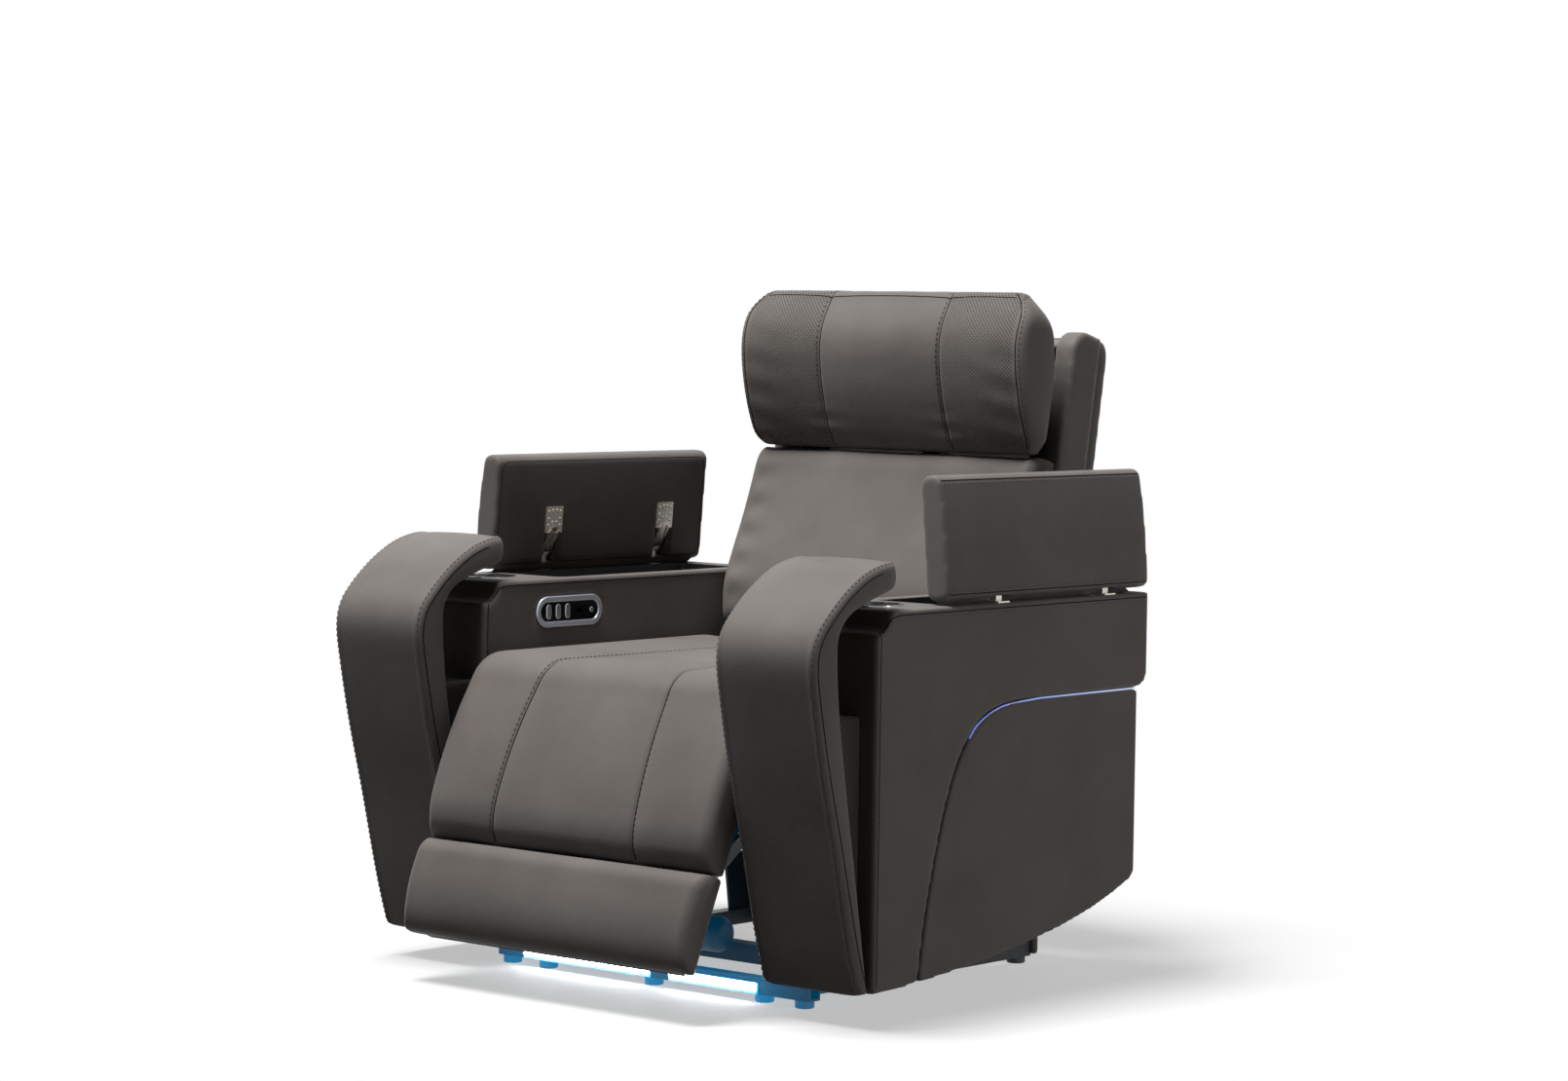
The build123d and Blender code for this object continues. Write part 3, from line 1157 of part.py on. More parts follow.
with BuildPart() as side_panels:
    for side in (1, -1):
        extrude(moved(PANEL_FACE, side * (ARM_OUT - PANEL_T)), amount=PANEL_T, dir=(side, 0, 0))
    extrude(moved(ARM_FACE, -OVERALL_W), amount=2 * OVERALL_W, dir=(1, 0, 0), mode=Mode.INTERSECT)
keep(side_panels, "arm_side_panels")

LED_SINK = 3.0          # light line below the panel's face
LED_DEPTH = PANEL_T - LED_SINK
LED_LINE_FRONT = BOX_FRONT + 229
LED_LINE_LOW = BOX_STEP_Z - 57

with BuildPart() as led_strips:
    for side in (1, -1):
        inner = side * (ARM_OUT - PANEL_T)
        extrude(moved(RECESS_FACE, inner), amount=LED_DEPTH, dir=(side, 0, 0))
        extrude(moved(PANEL_FACE, inner), amount=LED_DEPTH, dir=(side, 0, 0), mode=Mode.SUBTRACT)
    with BuildSketch(at_x(-ARM_OUT)):
        with Locations(((BOX_REAR + LED_LINE_FRONT) / 2, (LED_LINE_LOW + BOX_STEP_Z) / 2)):
            Rectangle(BOX_REAR - LED_LINE_FRONT, BOX_STEP_Z + PANEL_SEAM - LED_LINE_LOW)
    extrude(amount=2 * ARM_OUT, mode=Mode.INTERSECT)
    for run_start, run_end in LED_RUNS:
        with BuildSketch(Plane.XY.offset(RAIL_TOP - LED_T - LED_H)):
            with Locations(((run_start + run_end) / 2, FRONT_RAIL_Y - RAIL_W / 2 - LED_T / 2)):
                Rectangle(run_end - run_start, LED_T)
        extrude(amount=LED_H)
keep(led_strips, "led_strips")

# side outline of the padded hook: its front rises from the floor and curls back over the arm
HOOK_FRONT = (
    (BOX_FRONT - 27, ARM_FOOT), (BOX_FRONT - 63, ARM_FOOT + 114), (BOX_FRONT - 119, ARM_FOOT + 339),
    (BOX_FRONT - 145, BOX_TOP - 111), (BOX_FRONT - 147, BOX_TOP - 56), (BOX_FRONT - 117, BOX_TOP - 4),
    (BOX_FRONT - 73, BOX_TOP + 33), (BOX_FRONT - 23, BOX_TOP + 60), (BOX_FRONT + 43, BOX_TOP + 74),
)
HOOK_NOSE = ((BOX_FRONT + 62, BOX_TOP + 55), (BOX_FRONT + 43, BOX_TOP + 32))
HOOK_UNDER = (
    (BOX_FRONT - 17, BOX_TOP + 16), (BOX_FRONT - 61, BOX_TOP - 2), (BOX_FRONT - 84, BOX_TOP - 26),
    (BOX_FRONT - 89, BOX_TOP - 66), (BOX_FRONT - 82, BOX_TOP - 147), (BOX_FRONT - 46, ARM_FOOT + 210),
    (BOX_FRONT - 9, ARM_FOOT),
)


def hook_outline():
    """Side outline of the hook as a closed face in the Y-Z plane."""
    with BuildSketch(Plane.YZ) as outline:
        with BuildLine():
            front = Spline(*HOOK_FRONT)
            nose = ThreePointArc(front @ 1, *HOOK_NOSE)
            under = Spline(nose @ 1, *HOOK_UNDER)
            Line(under @ 1, front @ 0)
        make_face()
    return outline.sketch.face()


HOOK_FACE = hook_outline()

with BuildPart() as hooks:
    for side in (1, -1):
        extrude(moved(HOOK_FACE, side * ARM_IN), amount=ARM_W, dir=(side, 0, 0))
keep(hooks, "arm_hooks")

with BuildPart() as infills:
    for side in (1, -1):
        with BuildSketch(at_x(side * INFILL_IN)):
            with BuildLine():
                Polyline((BOX_FRONT, INFILL_LOW), (BOX_FRONT, INFILL_TOP),
                         (BOX_FRONT - INFILL_REACH_TOP, INFILL_TOP),
                         (BOX_FRONT - INFILL_REACH_FOOT, INFILL_LOW), close=True)
            make_face()
        extrude(amount=side * (INFILL_OUT - INFILL_IN))
        hook_behind = HOOK_FACE.moved(Location((side * ARM_IN, SOFT_GAP, 0)))
        extrude(hook_behind, amount=ARM_W, dir=(side, 0, 0), mode=Mode.SUBTRACT)
keep(infills, "arm_infills")

with BuildPart() as cups:
    for side in (1, -1):
        with BuildSketch(Plane.XY.offset(BOX_TOP)):
            with Locations((side * CUP_X, CUP_Y)):
                Circle(CUP_RIM_R)
        extrude(amount=CUP_RIM_T)
        with BuildSketch(Plane.XY.offset(BOX_TOP)):
            with Locations((side * CUP_X, CUP_Y)):
                Circle(CUP_R + CUP_WALL)
        extrude(amount=-CUP_DEPTH - CUP_WALL)
        with BuildSketch(Plane.XY.offset(BOX_TOP - CUP_DEPTH)):
            with Locations((side * CUP_X, CUP_Y)):
                Circle(CUP_R)
        extrude(amount=CUP_DEPTH + CUP_RIM_T, mode=Mode.SUBTRACT)
keep(cups, "cup_holders")

with BuildPart() as trays:
    tray_l = CAVITY_REAR - CAVITY_FRONT - 2 * SOFT_GAP
    tray_w = CAVITY_OUT - CAVITY_IN - 2 * SOFT_GAP
    tray_h = BOX_TOP - CAVITY_FLOOR - LID_GAP / 2
    for side in (1, -1):
        centre = (side * (CAVITY_IN + CAVITY_OUT) / 2, (CAVITY_FRONT + CAVITY_REAR) / 2)
        with BuildSketch(Plane.XY.offset(CAVITY_FLOOR)):
            with Locations(centre):
                RectangleRounded(tray_w, tray_l, WELL_R - SOFT_GAP)
        extrude(amount=tray_h)
        with BuildSketch(Plane.XY.offset(CAVITY_FLOOR + TRAY_WALL)):
            with Locations(centre):
                RectangleRounded(tray_w - 2 * TRAY_WALL, tray_l - 2 * TRAY_WALL,
                                 WELL_R - SOFT_GAP - TRAY_WALL)
        extrude(amount=tray_h, mode=Mode.SUBTRACT)
keep(trays, "storage_trays")


# ================================================================= lids
def local_x(x):
    """A shut lid's X place measured from its pin, outward."""
    return x - LID_PIN_X


def local_y(z):
    """A shut lid's height measured from its pin."""
    return z - LID_PIN_Z


HINGE_FOOT_T = 2.5
HINGE_FOOT = (26.0, 28.0)
HINGE_FOOT_SHIFT = 4.0
LEAF_T = 2.5
LEAF_L = 44.0
LEAF_HALF = 20.0
LEAF_START = 40.0       # leaf in from the pin
LEAF_EAR = 42.0
EAR_R = 7.0
EAR_HALF = 2.0
KNUCKLE_HALF = 7.0
KNUCKLE_GAP = 1.0


def make_lid(side):
    """Padded lid raised on its hinges, notched inside for each hinge."""
    middle = (LID_FRONT + LID_REAR) / 2
    below = local_y(LID_UNDER) - SOFT_GAP
    beyond = local_x(LID_OUT) + SOFT_GAP
    with BuildPart() as lid:
        with BuildSketch(lid_plane(side, middle)):
            with Locations(((local_x(LID_IN) + local_x(LID_OUT)) / 2, local_y(LID_UNDER) + LID_T / 2)):
                RectangleRounded(LID_OUT - LID_IN, LID_T, LID_EDGE_R)
        extrude(amount=(LID_REAR - LID_FRONT) / 2, both=True)
        for hinge_y in LID_HINGE_Y:
            with BuildSketch(lid_plane(side, hinge_y)):
                with BuildLine():
                    Polyline((-NOTCH_DEEP, below), (-NOTCH_DEEP, below + NOTCH_STEP),
                             (-NOTCH_STEP, NOTCH_STEP), (beyond, NOTCH_STEP), (beyond, below), close=True)
                make_face()
            extrude(amount=NOTCH_HALF, both=True, mode=Mode.SUBTRACT)
    return lid


def make_leaves(side):
    """Hinge leaves screwed under a lid, each with two ears and its pin."""
    under = local_y(LID_UNDER)
    with BuildPart() as leaves:
        for hinge_y in LID_HINGE_Y:
            with BuildSketch(lid_plane(side, hinge_y)):
                with Locations((-LEAF_START - LEAF_L / 2, under - LEAF_T / 2)):
                    Rectangle(LEAF_L, LEAF_T)
            extrude(amount=LEAF_HALF, both=True)
            for way in (1, -1):
                with BuildSketch(lid_plane(side, hinge_y + way * (KNUCKLE_HALF + KNUCKLE_GAP + EAR_HALF))):
                    with Locations((-LEAF_EAR, under - LEAF_T)):
                        Circle(LEAF_T)
                    with Locations((0, 0)):
                        Circle(EAR_R)
                    make_hull()
                extrude(amount=EAR_HALF, both=True)
            with BuildSketch(lid_plane(side, hinge_y)):
                Circle(LID_PIN_R)
            extrude(amount=KNUCKLE_HALF + KNUCKLE_GAP + 2 * EAR_HALF + KNUCKLE_GAP, both=True)
    return leaves


keep(make_lid(1), "lid_left")
keep(make_lid(-1), "lid_right")
keep(make_leaves(1), "lid_leaves_left")
keep(make_leaves(-1), "lid_leaves_right")

with BuildPart() as hinge_bases:
    for side in (1, -1):
        for hinge_y in LID_HINGE_Y:
            with BuildSketch(Plane.XY.offset(BOX_TOP)):
                with Locations((side * (LID_PIN_X + HINGE_FOOT_SHIFT), hinge_y)):
                    Rectangle(*HINGE_FOOT)
            extrude(amount=HINGE_FOOT_T)
            with BuildSketch(Plane.XZ.offset(-hinge_y)):
                with Locations((side * LID_PIN_X, LID_PIN_Z), (side * LID_PIN_X, BOX_TOP + EAR_R)):
                    Circle(EAR_R)
                make_hull()
                with Locations((side * LID_PIN_X, BOX_TOP + EAR_R / 2)):
                    Rectangle(2 * EAR_R, EAR_R)
                with Locations((side * LID_PIN_X, LID_PIN_Z)):
                    Circle(LID_PIN_R + RUN_FIT, mode=Mode.SUBTRACT)
            extrude(amount=KNUCKLE_HALF, both=True)
keep(hinge_bases, "hinge_bases")

# ================================================================= control panel
PANEL_X = -ARM_IN

with BuildPart() as bezel:
    with BuildSketch(at_x(PANEL_X + BEZEL_PROUD)):
        with Locations((PANEL_Y, PANEL_Z)):
            SlotOverall(PANEL_L, PANEL_H)
            SlotOverall(PANEL_L - 2 * BEZEL_W, PANEL_H - 2 * BEZEL_W, mode=Mode.SUBTRACT)
    extrude(amount=-BEZEL_PROUD - POCKET_D)
    fillet(bezel.faces().sort_by(Axis.X)[-1].edges(), BEZEL_FILLET)
keep(bezel, "panel_bezel")

with BuildPart() as housing:
    with BuildSketch(at_x(PANEL_X + FACE_PROUD)):
        with Locations((PANEL_Y, PANEL_Z)):
            SlotOverall(PANEL_L - 2 * BEZEL_W, PANEL_H - 2 * BEZEL_W)
    extrude(amount=-FACE_PROUD - HOUSING_D)
    with BuildSketch(at_x(PANEL_X + FACE_PROUD)):
        with Locations(*[(rocker_y, PANEL_Z) for rocker_y in ROCKER_Y]):
            SlotOverall(ROCKER_L + 2 * ROCKER_SWING_GAP, ROCKER_W + 2 * ROCKER_SIDE_GAP, rotation=90)
    extrude(amount=-FACE_PROUD - ROCKER_DEPTH - ROCKER_BACK_GAP, mode=Mode.SUBTRACT)
    for rocker_y in ROCKER_Y:
        with BuildSketch(Plane.XZ.offset(-rocker_y)):
            with Locations((PANEL_X - AXLE_DEPTH, PANEL_Z)):
                Circle(TRUNNION_R + RUN_FIT)
        extrude(amount=ROCKER_W / 2 + TRUNNION_L + TRUNNION_GAP, both=True, mode=Mode.SUBTRACT)
    with BuildSketch(at_x(PANEL_X + FACE_PROUD)):
        with Locations((BUTTON_Y, PANEL_Z)):
            Circle(BUTTON_R + RUN_FIT)
    extrude(amount=-FACE_PROUD - BUTTON_SHOULDER, mode=Mode.SUBTRACT)
    with BuildSketch(at_x(PANEL_X - BUTTON_SHOULDER)):
        with Locations((BUTTON_Y, PANEL_Z)):
            Circle(BUTTON_FLANGE_R + 2 * SLIDE_FIT)
    extrude(amount=-BUTTON_FLANGE_T - BUTTON_TRAVEL - BUTTON_BACK_GAP, mode=Mode.SUBTRACT)
    with BuildSketch(at_x(PANEL_X + FACE_PROUD)):
        with Locations((PORT_Y, PANEL_Z)):
            Rectangle(PORT_W, PORT_H)
    extrude(amount=-FACE_PROUD - PORT_DEPTH - PORT_BACK, mode=Mode.SUBTRACT)
keep(housing, "panel_housing")


def make_rocker(rocker_y):
    """Oval rocker on two moulded trunnions."""
    with BuildPart() as rocker:
        with BuildSketch(at_x(PANEL_X + ROCKER_PROUD)):
            with Locations((rocker_y, PANEL_Z)):
                SlotOverall(ROCKER_L, ROCKER_W, rotation=90)
        extrude(amount=-ROCKER_PROUD - ROCKER_DEPTH)
        with BuildSketch(Plane.XZ.offset(-rocker_y)):
            with Locations((PANEL_X - AXLE_DEPTH, PANEL_Z)):
                Circle(TRUNNION_R)
        extrude(amount=ROCKER_W / 2 + TRUNNION_L, both=True)
        fillet(rocker.faces().sort_by(Axis.X)[-1].edges(), ROCKER_EDGE_R)
    return rocker


for number, place in enumerate(ROCKER_Y, 1):
    keep(make_rocker(place), f"rocker_{number}")

with BuildPart() as button:
    button_top = FACE_PROUD + BUTTON_TRAVEL + BUTTON_STAND
    with BuildSketch(at_x(PANEL_X + button_top)):
        with Locations((BUTTON_Y, PANEL_Z)):
            Circle(BUTTON_R)
    extrude(amount=-button_top - BUTTON_SHOULDER - BUTTON_FLANGE_T)
    with BuildSketch(at_x(PANEL_X - BUTTON_SHOULDER - SHOULDER_GAP)):
        with Locations((BUTTON_Y, PANEL_Z)):
            Circle(BUTTON_FLANGE_R)
    extrude(amount=-BUTTON_FLANGE_T)
    fillet(button.faces().sort_by(Axis.X)[-1].edges(), BUTTON_EDGE_R)
keep(button, "power_button")

with BuildPart() as port:
    with BuildSketch(at_x(PANEL_X + FACE_PROUD)):
        with Locations((PORT_Y, PANEL_Z)):
            Rectangle(PORT_W, PORT_H)
    extrude(amount=-FACE_PROUD - PORT_DEPTH - PORT_BACK)
    with BuildSketch(at_x(PANEL_X + FACE_PROUD)):
        with Locations((PORT_Y, PANEL_Z)):
            Rectangle(*PORT_SLOT)
    extrude(amount=-PORT_DEPTH, mode=Mode.SUBTRACT)
keep(port, "usb_port")

# ================================================================= write
for piece in pieces:
    export_step(piece, f"parts/{piece.label}.step")
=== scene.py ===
import math

import bmesh
import bpy
import numpy as np
from mathutils import Matrix, Vector
from mathutils.bvhtree import BVHTree


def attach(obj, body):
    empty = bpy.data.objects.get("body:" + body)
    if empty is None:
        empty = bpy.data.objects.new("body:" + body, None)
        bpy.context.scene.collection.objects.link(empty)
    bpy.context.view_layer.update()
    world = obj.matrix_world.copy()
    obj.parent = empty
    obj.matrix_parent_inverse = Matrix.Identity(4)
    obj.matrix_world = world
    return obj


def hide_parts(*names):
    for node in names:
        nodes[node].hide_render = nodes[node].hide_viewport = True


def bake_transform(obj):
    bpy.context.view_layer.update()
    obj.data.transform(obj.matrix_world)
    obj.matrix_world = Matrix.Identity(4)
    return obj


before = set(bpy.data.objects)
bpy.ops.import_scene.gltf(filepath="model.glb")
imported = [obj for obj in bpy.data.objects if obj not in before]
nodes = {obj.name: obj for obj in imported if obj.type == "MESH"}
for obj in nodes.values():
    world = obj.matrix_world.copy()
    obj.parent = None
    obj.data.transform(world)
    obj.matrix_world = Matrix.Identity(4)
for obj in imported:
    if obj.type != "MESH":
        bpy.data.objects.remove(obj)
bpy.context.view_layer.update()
MM = 0.001
SIDES = ((-1, "right"), (1, "left"))       # the sitter's right is at -x


# ------------------------------------------------------------------ mesh helpers
def smooth(obj, on=True):
    obj.data.polygons.foreach_set("use_smooth", [on] * len(obj.data.polygons))
    obj.data.update()


def add_object(name, verts, faces, material=None, body=None, flat=False):
    """A mesh object from places in metres, which rides on a body where one is named."""
    mesh = bpy.data.meshes.new(name)
    mesh.from_pydata([tuple(v) for v in verts], [], faces)
    mesh.update()
    mesh.validate()
    obj = bpy.data.objects.new(name, mesh)
    bpy.context.scene.collection.objects.link(obj)
    if material:
        mesh.materials.append(material)
    smooth(obj, not flat)
    if body:
        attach(obj, body)
    return obj


def apply_modifiers(obj):
    graph = bpy.context.evaluated_depsgraph_get()
    mesh = bpy.data.meshes.new_from_object(obj.evaluated_get(graph))
    obj.modifiers.clear()
    obj.data = mesh


def read_verts(obj, what):
    """A vector that every vertex has, "co" or "normal", as an array of rows."""
    values = np.zeros(len(obj.data.vertices) * 3)
    obj.data.vertices.foreach_get(what, values)
    return values.reshape(-1, 3)


def move_verts(obj, places):
    obj.data.vertices.foreach_set("co", places.ravel())
    obj.data.update()


def soften(node, name, material, body, voxel, rounds, puff):
    """A padded copy of a solid that stands for it, its edges rounded over the foam inside."""
    obj = bpy.data.objects.new(name, nodes[node].data.copy())
    bpy.context.scene.collection.objects.link(obj)
    obj.data.materials.clear()
    obj.data.materials.append(material)
    mod = obj.modifiers.new("remesh", "REMESH")
    mod.mode = "VOXEL"
    mod.voxel_size = voxel
    mod = obj.modifiers.new("smooth", "SMOOTH")
    mod.iterations = rounds
    mod.factor = 0.5
    apply_modifiers(obj)
    smooth(obj)
    move_verts(obj, read_verts(obj, "co") + read_verts(obj, "normal") * puff)
    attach(obj, body)
    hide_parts(node)
    return obj


def bridge(a, b, size):
    """Faces between two closed rings of vertices that start at a and at b."""
    return [(a + k, a + (k + 1) % size, b + (k + 1) % size, b + k) for k in range(size)]


def sheet_faces(start, rows, columns, turned=False):
    """Faces over a grid of vertices, wound the other way round where turned."""
    faces = []
    for r in range(rows - 1):
        for k in range(columns - 1):
            a = start + r * columns + k
            b = a + columns
            faces.append((a, a + 1, b + 1, b) if turned else (b, b + 1, a + 1, a))
    return faces


# faces of a block whose lower four corners come first
BOX_FACES = ((3, 2, 1, 0), (4, 5, 6, 7), (0, 1, 5, 4), (1, 2, 6, 5), (2, 3, 7, 6), (3, 0, 4, 7))


def boxes(name, spans, material, body):
    """Small blocks, each given by its low and high corner in millimetres."""
    verts, faces = [], []
    for (x0, y0, z0), (x1, y1, z1) in spans:
        base = len(verts)
        for z in (z0, z1):
            for x, y in ((x0, y0), (x1, y0), (x1, y1), (x0, y1)):
                verts.append((x * MM, y * MM, z * MM))
        faces += [tuple(base + k for k in face) for face in BOX_FACES]
    return add_object(name, verts, faces, material, body, flat=True)


# ------------------------------------------------------------------ lines
def lengths_along(points):
    """How far along its line each point lies."""
    steps = np.linalg.norm(np.diff(np.array(points), axis=0), axis=1)
    return np.concatenate([[0], np.cumsum(steps)])


def at_lengths(places, along, points):
    """The points at some lengths along a line."""
    return np.stack([np.interp(places, along, points[:, k]) for k in range(points.shape[1])],
                    axis=-1)


def resample(points, count):
    """Points spread evenly along a line."""
    points = np.array(points, float)
    along = lengths_along(points)
    return at_lengths(np.linspace(0, along[-1], count), along, points)


def curve_through(points, count):
    """A smooth line through points (uniform Catmull-Rom), evenly resampled."""
    p = np.array(points, float)
    p = np.vstack([2 * p[0] - p[1], p, 2 * p[-1] - p[-2]])
    line = []
    for i in range(1, len(p) - 2):
        a, b, c, d = p[i - 1:i + 3]
        for t in np.linspace(0, 1, 24, endpoint=False):
            line.append(0.5 * ((2 * b) + (c - a) * t + (2 * a - 5 * b + 4 * c - d) * t ** 2
                               + (3 * b - a - 3 * c + d) * t ** 3))
    line.append(p[-2])
    return resample(line, count)


def tube(name, points, radius, material, body, sides=8):
    """A thin round line along places in metres, such as piping."""
    points = np.array(points, float)
    tangents = np.gradient(points, axis=0)
    tangents /= np.linalg.norm(tangents, axis=1)[:, None] + 1e-12
    normal = np.cross(tangents[0], (0.31, 0.82, 0.47))     # any direction off the line will do
    verts, faces = [], []
    for p, t in zip(points, tangents):
        normal = normal - t * (normal @ t)
        normal /= np.linalg.norm(normal)
        other = np.cross(t, normal)
        for k in range(sides):
            a = 2 * math.pi * k / sides
            verts.append(p + radius * (normal * math.cos(a) + other * math.sin(a)))
    last = (len(points) - 1) * sides
    for start in range(0, last, sides):
        faces += bridge(start, start + sides, sides)
    faces += [tuple(range(sides - 1, -1, -1)), tuple(range(last, last + sides))]
    return add_object(name, verts, faces, material, body)


# ------------------------------------------------------------------ sewing, in metres
RAY_BEHIND, RAY_REACH = 0.06, 0.14           # a ray to the surface starts behind its point
STITCH, STITCH_GAP, THREAD_R = 0.0058, 0.0034, 0.0008
# sections of a stitch: how far along it, and its width and height in thread radii
STITCH_SHAPE = ((0.0, 0.45, -0.5), (0.22, 1.0, 0.8), (0.5, 1.0, 1.05), (0.78, 1.0, 0.8),
                (1.0, 0.45, -0.5))
STITCH_LIFT = 0.0002
SEAM_R, SEAM_SUNK = 0.0011, 0.0003


def on_surface(obj, points, directions, out=0.0):
    """Carry points along directions to an object's surface; returns points and normals."""
    tree = BVHTree.FromObject(obj, bpy.context.evaluated_depsgraph_get())
    found, facing = [], []
    for p, d in zip(points, directions):
        d = Vector(d).normalized()
        hit, normal, _, _ = tree.ray_cast(Vector(p) - d * RAY_BEHIND, d, RAY_REACH)
        if hit is None:
            hit, normal, _, _ = tree.find_nearest(Vector(p))
        if normal.dot(d) > 0:
            normal = -normal
        found.append(np.array(hit + normal * out))
        facing.append(np.array(normal))
    return np.array(found), np.array(facing)


def stitches(name, obj, line, ways, body):
    """A row of thread stitches along a line, carried onto an object's surface."""
    points, facing = on_surface(obj, line, ways, STITCH_LIFT)
    along = lengths_along(points)
    verts, faces = [], []
    at = STITCH_GAP
    while at + STITCH < along[-1]:
        start, end = (at_lengths(place, along, points) for place in (at, at + STITCH))
        normal = at_lengths(at + STITCH / 2, along, facing)
        normal /= np.linalg.norm(normal) + 1e-12
        side = np.cross((end - start) / (np.linalg.norm(end - start) + 1e-12), normal)
        base = len(verts)
        for f, wide, high in STITCH_SHAPE:
            middle = start + (end - start) * f
            for w, h in ((wide, -0.8), (wide * 0.6, high), (wide * -0.6, high), (-wide, -0.8)):
                verts.append(middle + side * THREAD_R * w + normal * THREAD_R * h)
        for a in range(base, base + 4 * (len(STITCH_SHAPE) - 1), 4):
            faces += [(a + k, a + k + 1, a + k + 5, a + k + 4) for k in range(3)]
        at += STITCH + STITCH_GAP
    return add_object(name, verts, faces, thread, body)


def seam(name, obj, line, ways, body, row=None, radius=SEAM_R, sunk=SEAM_SUNK):
    """A dark line let into a surface. Where a row is given, stitches run that far beside it."""
    points, facing = on_surface(obj, line, ways)
    made = [tube(name, points - facing * sunk, radius, seam_dark, body, sides=6)]
    if row:
        beside = [Vector(p) + Vector(row) for p in line]
        made.append(stitches(name + "_stitches", obj, beside, ways, body))
    return made


# ------------------------------------------------------------------ material helpers
def srgb(r, g, b):
    """A colour written from 0 to 255 as the linear one that a shader takes."""
    def linear(c):
        c /= 255.0
        return c / 12.92 if c <= 0.04045 else ((c + 0.055) / 1.055) ** 2.4
    return (linear(r), linear(g), linear(b), 1.0)


class Nodes:
    """The node tree of a material or a world, with short calls for its nodes."""

    def __init__(self, owner):
        owner.use_nodes = True
        self.tree = owner.node_tree

    def put(self, node, socket, value):
        """Give a socket its value, or a link from another node's output."""
        if isinstance(value, bpy.types.NodeSocket):
            self.tree.links.new(value, node.inputs[socket])
        else:
            node.inputs[socket].default_value = value

    def new(self, kind, sockets=None, **settings):
        node = self.tree.nodes.new(kind)
        for key, value in settings.items():
            setattr(node, key, value)
        for socket, value in (sockets or {}).items():
            self.put(node, socket, value)
        return node

    def math(self, operation, *values):
        return self.new("ShaderNodeMath", dict(enumerate(values)), operation=operation).outputs[0]

    def product(self, a, b):
        return self.math("MULTIPLY", a, b)

    def less(self, a, b):
        return self.math("SUBTRACT", a, b)

    def noise(self, scale, detail, rough, vector, distortion=0.0):
        sockets = {"Scale": scale, "Detail": detail, "Roughness": rough, "Vector": vector,
                   "Distortion": distortion}
        return self.new("ShaderNodeTexNoise", sockets).outputs["Fac"]

    def mix(self, share, a, b):
        return self.new("ShaderNodeMix", {0: share, 6: a, 7: b}, data_type="RGBA").outputs[2]

    def ramp(self, value, low=0.0, high=1.0, to_low=0.0, to_high=1.0):
        sockets = {0: value, 1: low, 2: high, 3: to_low, 4: to_high}
        return self.new("ShaderNodeMapRange", sockets).outputs[0]

    def bump(self, height, strength, distance, normal=None, invert=False):
        sockets = {"Height": height, "Strength": strength, "Distance": distance}
        if normal is not None:
            sockets["Normal"] = normal
        return self.new("ShaderNodeBump", sockets, invert=invert).outputs[0]

    def xyz(self, vector):
        return self.new("ShaderNodeSeparateXYZ", {0: vector}).outputs


class Surface(Nodes):
    """A material, with its shader and the object's coordinates at hand."""

    def __init__(self, name):
        self.material = bpy.data.materials.new(name)
        super().__init__(self.material)
        self.shader = self.tree.nodes["Principled BSDF"]
        self.place = self.new("ShaderNodeTexCoord").outputs["Object"]

    def shaded(self, sockets):
        for socket, value in sockets.items():
            self.put(self.shader, socket, value)
        return self.material


# metres, from the middle of the headrest: its holes' spacing, and where they start and end
HOLE_PITCH, HOLES_FROM, HOLES_TO = 0.0064, (0.132, 0.134), (0.278, 0.281)


def perforations(n):
    """Where the headrest's leather has holes: staggered rows outside its two long seams."""
    parts = n.xyz(n.place)
    rows = []
    for shift in (0.0, 0.5):
        across, up = (
            n.less(n.math("FRACT", n.math("ADD", n.math("DIVIDE", part, HOLE_PITCH), shift)), 0.5)
            for part in (parts[0], parts[2]))
        away = n.math("SQRT", n.math("ADD", n.product(across, across), n.product(up, up)))
        rows.append(n.less(1.0, n.ramp(away, 0.12, 0.26)))
    aside = n.math("ABSOLUTE", parts[0])
    inside = n.product(n.math("MAXIMUM", *rows), n.ramp(aside, *HOLES_FROM))
    return n.product(inside, n.less(1.0, n.ramp(aside, *HOLES_TO)))


